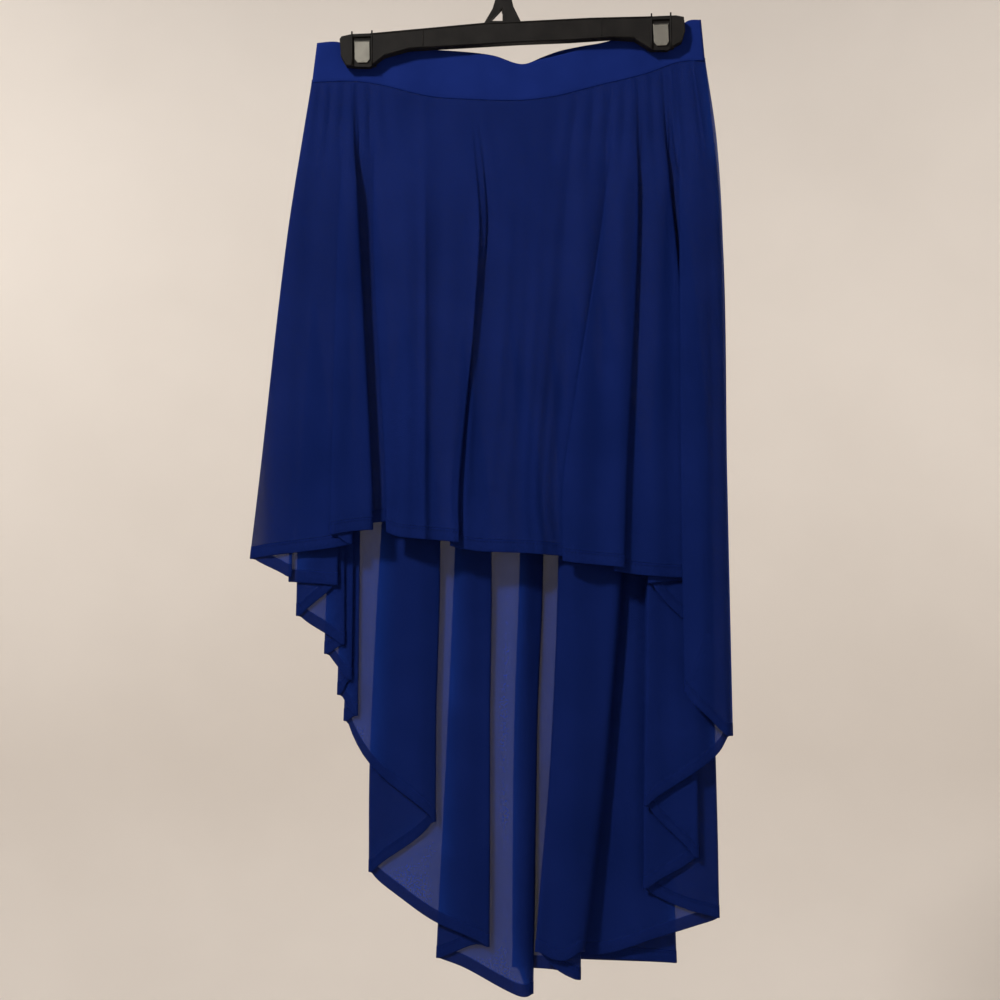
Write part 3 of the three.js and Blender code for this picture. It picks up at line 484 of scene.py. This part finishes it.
def ring_heights(panel, hem_z, seam_z):
    """Heights and wall of one column's rings: from inside the waistband to the hem's rounded edge."""
    band_top = hem_z + HEM_BAND
    count = LOW_RINGS[panel]
    low = mix(COMMON_END, band_top + ABOVE_HEM_BAND, np.arange(1, count + 1) / count)
    heights = np.concatenate([
        seam_z + SEAM_RINGS, COMMON_RINGS, low, band_top + HEM_TOP_RINGS, hem_z + HEM_LOW_RINGS,
    ])
    plain = len(heights) - HEM_RINGS
    walls = [WALL] * plain + [HEM_WALL] * (HEM_RINGS - 1) + [HEM_EDGE_WALL]
    hem = [0.0] * plain + [1.0] * HEM_RINGS
    return heights, np.array(walls), np.array(hem)


SHARE_PASSES = 3


def single_shares(columns):
    """For each panel's columns and heights, 1 where the cloth hangs as one layer and 0 where it is more."""
    lies = {}
    for panel, (_, hem_z, x, _) in columns.items():
        low, high = np.minimum(x[:-1], x[1:]), np.maximum(x[:-1], x[1:])
        hangs = GRID_Z[None, :] > np.maximum(hem_z[:-1], hem_z[1:])[:, None]
        lies[panel] = (low, high, hangs)
    shares = {}
    for panel, (_, _, x, _) in columns.items():
        middle = np.concatenate([(x[:-1] + x[1:]) / 2, x[-1:]])
        count = np.zeros_like(x)
        for low, high, hangs in lies.values():
            inside = (middle[:, None] >= low[None]) & (middle[:, None] < high[None]) & hangs[None]
            count += inside.sum(axis=1)
        share = np.where(count <= 1, 1.0, 0.0)
        for _ in range(SHARE_PASSES):
            for s in (share, share.T):
                s[1:-1] += 0.5 * ((s[:-2] + s[2:]) / 2 - s[1:-1])
        shares[panel] = share
    return shares


SIDE_COLUMNS = 6  # beside each side seam, over which the gathers, soft folds and ripples grow
SEAM_FALL = 1  # rings no lower than this under the waist seam follow the waistband


def at_heights(z, values):
    """A column's values on the grid, read at other heights."""
    return np.interp(z, GRID_Z[::-1], values[::-1])


def panel_surface(panel, columns, shares):
    """A panel's middle surface, points[column, ring] in metres, and its wall, hem and single layer there."""
    seam, hem_z, x, depth = columns[panel]
    seam_z = curve_through(WAIST_SEAM, seam)
    side = -1 if panel == "front" else 1
    points, walls, hems, singles = [], [], [], []
    for c in range(len(seam)):
        z, wall, hem = ring_heights(panel, hem_z[c], seam_z[c])
        column_x = at_heights(z, x[c])
        s = np.full_like(z, seam[c])
        relief = gather_depth(panel, s, z, seam_z[c]) + soft_fold_depth(panel, column_x, z)
        relief = relief + ripple_depth(panel, s, z)
        column_depth = at_heights(z, depth[c]) + relief * min(1, min(c, len(seam) - 1 - c) / SIDE_COLUMNS)
        column_depth[z > seam_z[c] - SEAM_FALL] = waist_depth(seam[c], side)
        points.append(placed(column_x, z, column_depth))
        walls.append(wall)
        hems.append(hem)
        singles.append(at_heights(z, shares[panel][c]))
    return np.array(points), np.array(walls), np.array(hems), np.array(singles)


def surface_normals(points):
    across = np.gradient(points, axis=0)
    down = np.gradient(points, axis=1)
    normal = np.cross(down, across)
    return normal / np.maximum(np.linalg.norm(normal, axis=-1, keepdims=True), 1e-12)


def mesh_object(name, points, faces, material, smooth=True):
    mesh = bpy.data.meshes.new(name)
    mesh.from_pydata([tuple(p) for p in points], [], faces)
    mesh.validate()
    mesh.update()
    piece = bpy.data.objects.new(name, mesh)
    bpy.context.scene.collection.objects.link(piece)
    mesh.materials.append(material)
    mesh.shade_smooth() if smooth else mesh.shade_flat()
    return piece


def shell_faces(columns, rings):
    """Faces of a closed wall whose outer points come first, then its inner ones."""
    shift = columns * rings
    faces = []

    def at(c, r):
        return c * rings + r

    for c in range(columns - 1):
        for r in range(rings - 1):
            a, b, d, e = at(c, r), at(c, r + 1), at(c + 1, r + 1), at(c + 1, r)
            faces.append((a, b, d, e))
            faces.append((shift + a, shift + e, shift + d, shift + b))
        faces.append((at(c, 0), at(c + 1, 0), shift + at(c + 1, 0), shift + at(c, 0)))
        end = rings - 1
        faces.append((at(c, end), shift + at(c, end), shift + at(c + 1, end), at(c + 1, end)))
    last = columns - 1
    for r in range(rings - 1):
        faces.append((at(0, r), shift + at(0, r), shift + at(0, r + 1), at(0, r + 1)))
        faces.append((at(last, r), at(last, r + 1), shift + at(last, r + 1), shift + at(last, r)))
    return faces


def skirt_panel(panel, columns, shares, material):
    """A panel as a closed wall, and the points of its middle surface. Its attributes steer the knit, and one
    of them, single_layer, marks where the knit gets its painted light.
    """
    points, walls, hems, singles = panel_surface(panel, columns, shares)
    offset = surface_normals(points) * (walls[..., None] / 2 * MM)
    columns, rings = walls.shape
    both = np.concatenate([(points + offset).reshape(-1, 3), (points - offset).reshape(-1, 3)])
    piece = mesh_object(f"{panel}_cloth", both, shell_faces(columns, rings), material)
    left = ease((LEFT_SIDE["x"] - points[..., 0] / MM) / LEFT_SIDE["over"])
    left *= ease((LEFT_SIDE["top"] - points[..., 2] / MM) / LEFT_SIDE["fall"]) * (1 - hems)
    for name, values in (("hem_layer", hems), ("single_layer", singles), ("left_side", left)):
        layer = piece.data.attributes.new(name, "FLOAT", "POINT")
        layer.data.foreach_set("value", np.concatenate([values.ravel(), values.ravel()]).astype(np.float32))
    return piece, points


STITCH_ROWS = (12.4, 10.0)  # heights of the hem's two rows of stitches
STITCH_STEP = 3.3
STITCH_LENGTH = 2.3
STITCH_WIDTH = 0.6
STITCH_LIFT = 0.05  # of a stitch's ends off the cloth
STITCH_CROWN = 0.18  # and of its middle over them
ROW_ENDS = (2, 4)  # the bare cloth before and after a row


def hem_stitches(panel, points, material):
    """Two rows of stitches along a hem, each stitch a small raised bar on the cloth's outside."""
    normals = surface_normals(points)
    last = points.shape[1] - 1
    first = last - HEM_RINGS
    # These rings lie from just above the turned-up hem's top down to just above its edge.
    ring_height = np.linalg.norm(points[:, first:last] - points[:, last:], axis=2).mean(axis=0)
    vertices, faces = [], []
    for height in STITCH_ROWS:
        nearest = int(np.argmin(np.abs(ring_height - height * MM)))
        r = first + nearest
        up = points[:, r - 1] - points[:, r]
        up /= np.linalg.norm(up, axis=1, keepdims=True)
        line = points[:, r] + up * (height * MM - ring_height[nearest])
        line = line + normals[:, r] * (HEM_WALL / 2 + STITCH_LIFT) * MM
        length = np.concatenate([[0], np.cumsum(np.linalg.norm(np.diff(line, axis=0), axis=1))])
        starts = np.arange(ROW_ENDS[0] * MM, length[-1] - ROW_ENDS[1] * MM, STITCH_STEP * MM)

        def along(at, values):
            return np.stack([np.interp(at, length, values[:, k]) for k in range(3)], axis=1)

        a, b = along(starts, line), along(starts + STITCH_LENGTH * MM, line)
        middle = (a + b) / 2 + along(starts + STITCH_LENGTH * MM / 2, normals[:, r]) * STITCH_CROWN * MM
        side = along(starts, up) * STITCH_WIDTH / 2 * MM
        for p, m, q, w in zip(a, middle, b, side):
            k = len(vertices)
            vertices += [p, m + w, q, m - w, (p + q) / 2 - (m - (p + q) / 2)]
            faces += [(k, k + 3, k + 1), (k + 1, k + 3, k + 2), (k, k + 1, k + 4), (k + 1, k + 2, k + 4)]
            faces += [(k + 2, k + 3, k + 4), (k + 3, k, k + 4)]
    return mesh_object(f"{panel}_hem_stitches", vertices, faces, material)


WAIST_COLUMNS = 120
WAIST_THICK = 2.0
WAIST_ENDS = np.array([0, 0.0008, 0.002, 0.004, 0.007])  # more columns near each end, as shares of the width
WAIST_END_GAP = 0.009
BACK_RISE = {"height": 4, "x": 60, "reach": 40}  # the back of the band stands this much higher there
BAND_WAVES = [(0.25, 9.0, 0), (0.18, 4.1, 1.3)]  # height, width for each radian, shift
# The band's section from its lower outer edge, over the fold and down inside: height and depth, as
# shares of the band's height and thickness.
HALF_SECTION = [
    (0.0, 0.30), (0.02, 0.47), (0.10, 0.50), (0.35, 0.50), (0.65, 0.50), (0.9, 0.48), (0.965, 0.38),
    (0.992, 0.2),
]
BAND_SECTION = HALF_SECTION + [(1.0, 0.0)] + [(h, -n) for h, n in HALF_SECTION[::-1]]


def waist_panel(side, material):
    """One side of the waistband: a soft folded band, closed round its section."""
    inside = np.arange(1, WAIST_COLUMNS) / WAIST_COLUMNS
    across = np.sort(np.concatenate([WAIST_ENDS, inside[inside > WAIST_END_GAP], 1 - WAIST_ENDS]))
    if side > 0:
        across = across[::-1]
    seam_x = mix(WAIST_LEFT["bottom"], WAIST_RIGHT["bottom"], across)[:, None]
    top_x = mix(WAIST_LEFT["top"], WAIST_RIGHT["top"], across)[:, None]
    rise = BACK_RISE["height"] * ease(1 - abs(top_x - BACK_RISE["x"]) / BACK_RISE["reach"]) if side > 0 else 0
    top_z = curve_through(WAIST_TOP, top_x) + rise
    wave = sum(height * np.sin(seam_x / width + shift) for height, width, shift in BAND_WAVES)
    h, n = np.array(BAND_SECTION).T
    grid = placed(
        mix(seam_x, top_x, h), mix(curve_through(WAIST_SEAM, seam_x), top_z, h),
        waist_depth(seam_x, side) + side * (n * WAIST_THICK + wave * h * (1 - h)),
    )
    columns, rings = grid.shape[:2]
    faces = tube_faces(columns, rings)
    return joined("waist_front" if side < 0 else "waist_back", [(grid.reshape(-1, 3), faces)], material)


def tube_faces(rings, sides):
    """Faces between closed rings of points, one after another, with a face at each end."""
    faces = [
        (k * sides + i, k * sides + (i + 1) % sides, (k + 1) * sides + (i + 1) % sides, (k + 1) * sides + i)
        for k in range(rings - 1) for i in range(sides)
    ]
    return faces + [tuple(range(sides))[::-1], tuple((rings - 1) * sides + i for i in range(sides))]


def new_material(name, **values):
    material = bpy.data.materials.new(name)
    material.use_nodes = True
    nodes, links = material.node_tree.nodes, material.node_tree.links
    shader = nodes["Principled BSDF"]
    set_inputs(shader, **values)
    return material, nodes, links, shader


def set_inputs(node, **values):
    for name, value in values.items():
        node.inputs[name.replace("_", " ")].default_value = value
    return node


def noise(nodes, links, scale, detail, coords):
    texture = set_inputs(nodes.new("ShaderNodeTexNoise"), Scale=scale, Detail=detail)
    links.new(coords, texture.inputs["Vector"])
    return texture.outputs["Fac"]


def add_bump(nodes, links, shader, height, strength, distance):
    bump = set_inputs(nodes.new("ShaderNodeBump"), Strength=strength, Distance=distance * MM)
    links.new(height, bump.inputs["Height"])
    links.new(bump.outputs["Normal"], shader.inputs["Normal"])


def knit_bump(nodes, links, shader, coords, pitch, strength):
    """Fine ribs of the knit: wales across x and courses down z, with uneven yarn."""
    add = nodes.new("ShaderNodeMath")
    add.operation = "ADD"
    for i, (direction, step) in enumerate(zip("XZ", pitch)):
        wave = nodes.new("ShaderNodeTexWave")
        wave.bands_direction = direction
        set_inputs(wave, Scale=math.pi / 10 / (step * MM), Distortion=0.6, Detail_Scale=3)
        links.new(coords, wave.inputs["Vector"])
        links.new(wave.outputs["Fac"], add.inputs[i])
    add_bump(nodes, links, shader, add.outputs[0], strength, 0.12)


def tone(nodes, links, factor, dark, light):
    """A colour between dark and light by a factor."""
    ramp = nodes.new("ShaderNodeValToRGB")
    for element, position, colour in zip(ramp.color_ramp.elements, (0.3, 0.7), (dark, light)):
        element.position = position
        element.color = (*colour, 1)
    links.new(factor, ramp.inputs["Fac"])
    return ramp.outputs["Color"]


def speckled(nodes, links, shader, scale, detail, dark, light):
    """A base colour that varies softly between two. Returns the coordinates that it was made with."""
    coords = nodes.new("ShaderNodeTexCoord").outputs["Object"]
    colour = tone(nodes, links, noise(nodes, links, scale, detail, coords), dark, light)
    links.new(colour, shader.inputs["Base Color"])
    return coords


def mixed(nodes, links, factor, first, second):
    """A colour between two others. A mix's sockets share their names, so they are told by identifier."""
    mixer = nodes.new("ShaderNodeMix")
    mixer.data_type = "RGBA"
    sockets = {socket.identifier: socket for socket in (*mixer.inputs, *mixer.outputs)}
    links.new(factor, sockets["Factor_Float"])
    links.new(first, sockets["A_Color"])
    links.new(second, sockets["B_Color"])
    return sockets["Result_Color"]


SHEER_ALPHA = 0.79  # of each face of the knit's wall
HEM_ALPHA = 0.93
SIDE_THINNER = 0.24  # less than that at the left side, where both panels hang smooth and stretched
LEFT_SIDE = {"x": -222.0, "over": 24.0, "top": -170.0, "fall": 120.0}
# Colours of the knit, from dark to light: over other layers; hanging alone, lighter by painted light that
# stands in for the light shining through one layer of the sheer knit; and turned up at the hem.
LAYERED = [(0.0032, 0.0108, 0.080), (0.0068, 0.0180, 0.126)]
PAINTED_BACKLIGHT = [(0.0050, 0.026, 0.185), (0.009, 0.036, 0.250)]
TURNED_UP = [(0.0028, 0.0092, 0.068), (0.0057, 0.0152, 0.107)]


def sheer_knit():
    material, nodes, links, shader = new_material("sheer_knit", Roughness=0.6, Specular_IOR_Level=0.012)
    coords = nodes.new("ShaderNodeTexCoord").outputs["Object"]
    grain = set_inputs(nodes.new("ShaderNodeMix"), Factor=0.6)
    links.new(noise(nodes, links, 14, 4, coords), grain.inputs["A"])
    links.new(noise(nodes, links, 650, 3, coords), grain.inputs["B"])
    layered, painted_backlight, turned_up = (
        tone(nodes, links, grain.outputs["Result"], *colours) for colours in (LAYERED, PAINTED_BACKLIGHT, TURNED_UP)
    )
    shares = {}
    for name in ("single_layer", "hem_layer", "left_side"):
        attribute = nodes.new("ShaderNodeAttribute")
        attribute.attribute_name = name
        shares[name] = attribute.outputs["Fac"]
    # Where the cloth hangs as one layer its colour turns to the painted light, which stands in for light
    # shining through the knit from behind.
    cloth = mixed(nodes, links, shares["single_layer"], layered, painted_backlight)
    links.new(mixed(nodes, links, shares["hem_layer"], cloth, turned_up), shader.inputs["Base Color"])
    alpha = set_inputs(nodes.new("ShaderNodeMapRange"), To_Min=SHEER_ALPHA, To_Max=HEM_ALPHA)
    links.new(shares["hem_layer"], alpha.inputs["Value"])
    thinner = nodes.new("ShaderNodeMath")
    thinner.operation = "MULTIPLY_ADD"
    thinner.inputs[1].default_value = -SIDE_THINNER
    links.new(shares["left_side"], thinner.inputs[0])
    links.new(alpha.outputs["Result"], thinner.inputs[2])
    links.new(thinner.outputs["Value"], shader.inputs["Alpha"])
    knit_bump(nodes, links, shader, coords, (0.9, 0.7), 0.25)
    material.use_transparent_shadow = False
    return material


def band_knit():
    material, nodes, links, shader = new_material(
        "band_knit", Roughness=0.75, Sheen_Weight=0.02, Sheen_Roughness=0.4, Sheen_Tint=(0.25, 0.4, 1.0, 1),
        Specular_IOR_Level=0.025,
    )
    coords = speckled(nodes, links, shader, 30, 4, (0.0052, 0.0155, 0.115), (0.0068, 0.0190, 0.138))
    knit_bump(nodes, links, shader, coords, (0.8, 0.9), 0.5)
    return material


def sewing_thread():
    material, nodes, links, shader = new_material("sewing_thread", Roughness=0.8, Specular_IOR_Level=0.02)
    speckled(nodes, links, shader, 400, 2, (0.0005, 0.0015, 0.012), (0.001, 0.003, 0.022))
    return material


def moulded_plastic():
    material, nodes, links, shader = new_material("black_plastic", Roughness=0.6, Specular_IOR_Level=0.1)
    coords = speckled(nodes, links, shader, 60, 3, (0.008, 0.0075, 0.0072), (0.013, 0.012, 0.0115))
    add_bump(nodes, links, shader, noise(nodes, links, 900, 2, coords), 0.25, 0.1)
    return material


def plated_steel():
    material, nodes, links, shader = new_material("plated_steel", Metallic=0.75)
    coords = speckled(nodes, links, shader, 45, 5, (0.14, 0.136, 0.12), (0.215, 0.208, 0.182))
    rough = set_inputs(nodes.new("ShaderNodeMapRange"), To_Min=0.52, To_Max=0.7)
    links.new(noise(nodes, links, 120, 4, coords), rough.inputs["Value"])
    links.new(rough.outputs["Result"], shader.inputs["Roughness"])
    return material


def painted_wall():
    material, nodes, links, shader = new_material("pale_wall", Roughness=0.9)
    speckled(nodes, links, shader, 1.5, 3, (0.66, 0.61, 0.56), (0.70, 0.65, 0.60))
    return material


ROOM = {"radius": 3.2, "cove": 0.9, "floor": -2.3, "top": 2.2, "cove_steps": 12, "sides": 96}  # in metres


def build_room():
    """A pale floor that curves up into a round wall, open at the top."""
    flat, cove, sides = ROOM["radius"] - ROOM["cove"], ROOM["cove"], ROOM["sides"]
    curve = [
        (flat + cove * math.sin(a), ROOM["floor"] + cove - cove * math.cos(a))
        for a in np.linspace(0.1, math.pi / 2, ROOM["cove_steps"])
    ]
    profile = [(flat, ROOM["floor"])] + curve + [(ROOM["radius"], ROOM["top"])]
    points = [
        (r * math.cos(2 * math.pi * i / sides), r * math.sin(2 * math.pi * i / sides), z)
        for r, z in profile for i in range(sides)
    ]
    faces = tube_faces(len(profile), sides)[:-1]  # without the one that would close its top
    joined("room", [(points, faces)], painted_wall())


WARM = (1.0, 0.98, 0.95)
# Round lamps: name, place, where it points, width, all in metres, then power and colour.
LAMPS = [
    ("key", (-1.15, -1.6, 0.9), (0.0, 0.0, -0.55), 0.28, 52, (1.0, 0.97, 0.93)),
    ("fill", (1.1, -2.3, -0.3), (0.0, 0.0, -0.6), 1.6, 2.5, (1, 1, 1)),
    ("wall_left", (-1.7, 1.0, 0.6), (-1.0, 3.2, 0.0), 1.1, 23, WARM),
    ("wall_right", (1.8, 1.0, 0.6), (1.0, 3.2, -0.2), 1.1, 13, WARM),
    ("behind_right", (2.1, 1.9, 0.6), (0.0, 0.0, -0.5), 0.8, 22, WARM),
    ("behind_left", (-2.1, 1.9, 0.4), (0.0, 0.0, -0.5), 0.8, 12, WARM),
]


def light_scene():
    for name, place, target, size, power, colour in LAMPS:
        data = bpy.data.lights.new(name, "AREA")
        data.shape = "DISK"
        data.size = size
        data.energy = power
        data.color = colour
        lamp = bpy.data.objects.new(name, data)
        lamp.location = place
        lamp.rotation_euler = (Vector(target) - Vector(place)).to_track_quat("-Z", "Y").to_euler()
        bpy.context.scene.collection.objects.link(lamp)
    world = bpy.data.worlds.new("pale_world")
    bpy.context.scene.world = world
    world.use_nodes = True
    world.node_tree.nodes["Background"].inputs["Color"].default_value = (0.93, 0.95, 1.0, 1)
    world.node_tree.nodes["Background"].inputs["Strength"].default_value = 0.36


FRAME_WIDTH = 1000  # what the photo shows of the garment's plane


def set_camera():
    data = bpy.data.cameras.new("camera")
    data.lens = data.sensor_width * EYE["distance"] / FRAME_WIDTH
    camera = bpy.data.objects.new("camera", data)
    camera.location = (EYE["x"] * MM, (CLOTH_Y - EYE["distance"]) * MM, EYE["z"] * MM)
    camera.rotation_euler = (math.pi / 2, 0, 0)
    bpy.context.scene.collection.objects.link(camera)
    bpy.context.scene.camera = camera
    bpy.context.scene.cycles.transparent_max_bounces = 40
    bpy.context.scene.view_settings.view_transform = "Standard"


BAR_FRONT = -14.5  # depth of the bar's face
BAR_BACK = -4.5
BEAD = 0.8  # radius of the raised lines along the bar's edges
BEAD_IN = 1.0  # their middle lies this far inside the edge
BEAD_SIDES = 10
TOP_BEAD = (-140, 150)  # they run between these places along the bar
LOW_BEAD = (-121, 132)
# Upright lines on the bar's face: x, low end, high end, radius. Four edge the jaws, two are mould lines.
UPRIGHTS = [
    (-151.6, -124.5, -91.5, 0.8), (-131.6, -124.5, -90.5, 0.8), (148.0, -107.5, -73.5, 0.8),
    (167.2, -107.5, -72.5, 0.8), (-80.5, -106.0, -89.5, 0.5), (98.0, -97.0, -78.5, 0.5),
]
CLIPS = {"left": {"x": -141.5, "z": -100.4, "tilt": -1}, "right": {"x": 157.7, "z": -83.2, "tilt": -3}}
TAB = {
    "width": 14.8, "height": 21.6, "thick": 1.2, "corner": 3.4, "corner_in": 2.72, "sunk": 1.0, "gap": 0.35,
    "back_drop": 4,
}
CATCH = {"half": 1.7, "low": 1.2, "tip": 4.4, "ahead": 0.3, "behind": 0.4, "bevel": 0.1}
HOOK = {
    "inside": 20, "wire": 3.4, "shank": [(0, -77), (0, -70), (0, -64)], "bend": [(0.5, 8), (5, 1)],
    "angles": np.arange(-50, 206, 17), "steps": 180, "sides": 20, "tip": 0.98,
}


def tube(path, radii, sides):
    """Points and faces of a round rod along a path that lies in an upright plane facing the camera."""
    path = np.array(path, float)
    along = np.gradient(path, axis=0)
    along /= np.linalg.norm(along, axis=1, keepdims=True)
    level = np.array([0.0, 1.0, 0.0])
    across = np.cross(along, level)
    across /= np.linalg.norm(across, axis=1, keepdims=True)
    turn = np.linspace(0, 2 * math.pi, sides, endpoint=False)
    rings = [
        p + r * (np.cos(turn)[:, None] * a + np.sin(turn)[:, None] * level)
        for p, a, r in zip(path, across, np.broadcast_to(radii, len(path)))
    ]
    return np.concatenate(rings), tube_faces(len(path), sides)


def joined(name, parts, material, smooth=True):
    """One object from several (points, faces), with its faces turned outwards."""
    points, faces = [], []
    for part_points, part_faces in parts:
        shift = len(points)
        points += [tuple(p) for p in part_points]
        faces += [tuple(shift + i for i in face) for face in part_faces]
    piece = mesh_object(name, points, faces, material, smooth)
    bm = bmesh.new()
    bm.from_mesh(piece.data)
    bmesh.ops.recalc_face_normals(bm, faces=bm.faces)
    bm.to_mesh(piece.data)
    bm.free()
    return piece


BEVEL = 0.25  # of a metal plate's edges


def slab(outline, front, back, bevel):
    """Points and faces of an upright plate between two depths, with rounded edges."""
    bm = bmesh.new()
    rings = [[bm.verts.new((x, y, z)) for x, z in outline] for y in (front, back)]
    bm.faces.new(rings[0])
    bm.faces.new(rings[1][::-1])
    count = len(outline)
    for i in range(count):
        k = (i + 1) % count
        bm.faces.new((rings[0][i], rings[1][i], rings[1][k], rings[0][k]))
    bmesh.ops.bevel(bm, geom=list(bm.edges), offset=bevel, segments=2, profile=0.5, affect="EDGES")
    bm.verts.index_update()
    points = [tuple(v.co) for v in bm.verts]
    faces = [tuple(v.index for v in f.verts) for f in bm.faces]
    bm.free()
    return points, faces


def turned_outline(outline, x, z, tilt):
    """An outline in millimetres about a middle, turned and put in metres."""
    c, s = math.cos(math.radians(tilt)), math.sin(math.radians(tilt))
    return [(MM * (x + u * c + v * s), MM * (z - u * s + v * c)) for u, v in outline]


def metal_tab(name, clip, material):
    """A clip's sliding tab: a front leg with cut corners, a bridge over the jaws and a back leg."""
    x, _, z = placed(np.float64(clip["x"]), np.float64(clip["z"]), np.float64(BAR_FRONT)) / MM
    half, height, thick, corner = TAB["width"] / 2, TAB["height"], TAB["thick"], TAB["corner"]
    front = CLOTH_Y + BAR_FRONT + TAB["sunk"] - TAB["gap"]
    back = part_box(f"clip_{name}")[1][1] / MM - thick
    low, cut = -height / 2, half - TAB["corner_in"]
    leg = [(-half, -low), (half, -low), (half, low + corner), (cut, low), (-cut, low), (-half, low + corner)]
    short = height - TAB["back_drop"]
    back_leg = [(-half, short / 2), (half, short / 2), (half, -short / 2), (-half, -short / 2)]
    bridge = [(-half, thick / 2), (half, thick / 2), (half, -thick / 2), (-half, -thick / 2)]
    catch_low = low + CATCH["low"]
    catch = [(-CATCH["half"], catch_low), (CATCH["half"], catch_low), (0, low + CATCH["tip"])]
    plates = [
        (leg, height / 2, front, front + thick, BEVEL),
        (back_leg, short / 2, back, back + thick, BEVEL),
        (bridge, thick / 2, front, back + thick, BEVEL),
        (catch, height / 2, front - CATCH["ahead"], front + CATCH["behind"], CATCH["bevel"]),
    ]
    parts = [
        slab(turned_outline(outline, x, z - down, clip["tilt"]), near * MM, far * MM, bevel * MM)
        for outline, down, near, far, bevel in plates
    ]
    piece = joined(f"metal_tab_{name}", parts, material, smooth=False)
    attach(piece, "root")
    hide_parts(f"clip_{name}")


def hook_wire(material):
    """The hook's wire: a straight shank, a bend to the right, then over the top to a rounded tip."""
    wire, middle = HOOK["wire"] / 2, -HOOK["inside"]
    radius = HOOK["inside"] + wire
    knots = HOOK["shank"] + [(x, middle - radius - below) for x, below in HOOK["bend"]]
    knots += [(radius * math.cos(a), middle + radius * math.sin(a)) for a in np.radians(HOOK["angles"])]
    knots = np.array(knots, float)
    at = np.concatenate([[0], np.cumsum(np.linalg.norm(np.diff(knots, axis=0), axis=1))])
    fine = np.linspace(0, at[-1], HOOK["steps"])
    x, z = (curve_through(np.stack([at, values], axis=1), fine) for values in knots.T)
    from_tip = (at[-1] - fine) / wire
    radii = wire * np.sqrt(1 - np.clip(1 - from_tip, 0, HOOK["tip"]) ** 2)
    path = MM * np.stack([x, 0 * x, z], axis=1)
    piece = joined("hook_wire", [tube(path, MM * radii, HOOK["sides"])], material)
    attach(piece, "root")
    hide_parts("hook")


def bar_line(outline, inward, depth):
    """A raised line along one edge of the bar, inside its outline, on its face or straight behind it."""
    xs, zs = np.array(outline, float).T
    on_face = placed(xs, zs + inward, np.full_like(xs, BAR_FRONT))
    return tube(on_face + (0, (depth - BAR_FRONT) * MM, 0), MM * BEAD, BEAD_SIDES)


def upright(x, low, high, radius):
    zs = np.linspace(low, high, 6)
    return tube(placed(np.full_like(zs, x), zs, np.full_like(zs, BAR_FRONT)), MM * radius, BEAD_SIDES)


def dress_hanger():
    plastic, steel = moulded_plastic(), plated_steel()
    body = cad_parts["hanger_body"].data
    body.materials.clear()
    body.materials.append(plastic)
    for name, clip in CLIPS.items():
        metal_tab(name, clip, steel)
    hook_wire(steel)
    top = [p for p in BAR_TOP if TOP_BEAD[0] < p[0] < TOP_BEAD[1]]
    low = [p for p in BAR_BOTTOM if LOW_BEAD[0] < p[0] < LOW_BEAD[1]][::-1]
    parts = []
    for depth in (BAR_FRONT, BAR_BACK):
        parts += [bar_line(top, -BEAD_IN, depth), bar_line(low, BEAD_IN, depth)]
    parts += [upright(*row) for row in UPRIGHTS]
    trim = joined("hanger_lines", parts, plastic)
    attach(trim, "root")


set_camera()
light_scene()
build_room()
dress_hanger()

sheer, band, thread = sheer_knit(), band_knit(), sewing_thread()
panel_shapes = {panel: panel_columns(panel) for panel in ("front", "back")}
single_layers = single_shares(panel_shapes)
for panel in ("front", "back"):
    piece, surface = skirt_panel(panel, panel_shapes, single_layers, sheer)
    stitches = hem_stitches(panel, surface, thread)
    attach(stitches, "root")
    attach(piece, "root")
    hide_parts(f"skirt_{panel}")
for side, label in ((-1, "front"), (1, "back")):
    piece = waist_panel(side, band)
    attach(piece, "root")
    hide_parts(f"waistband_{label}")
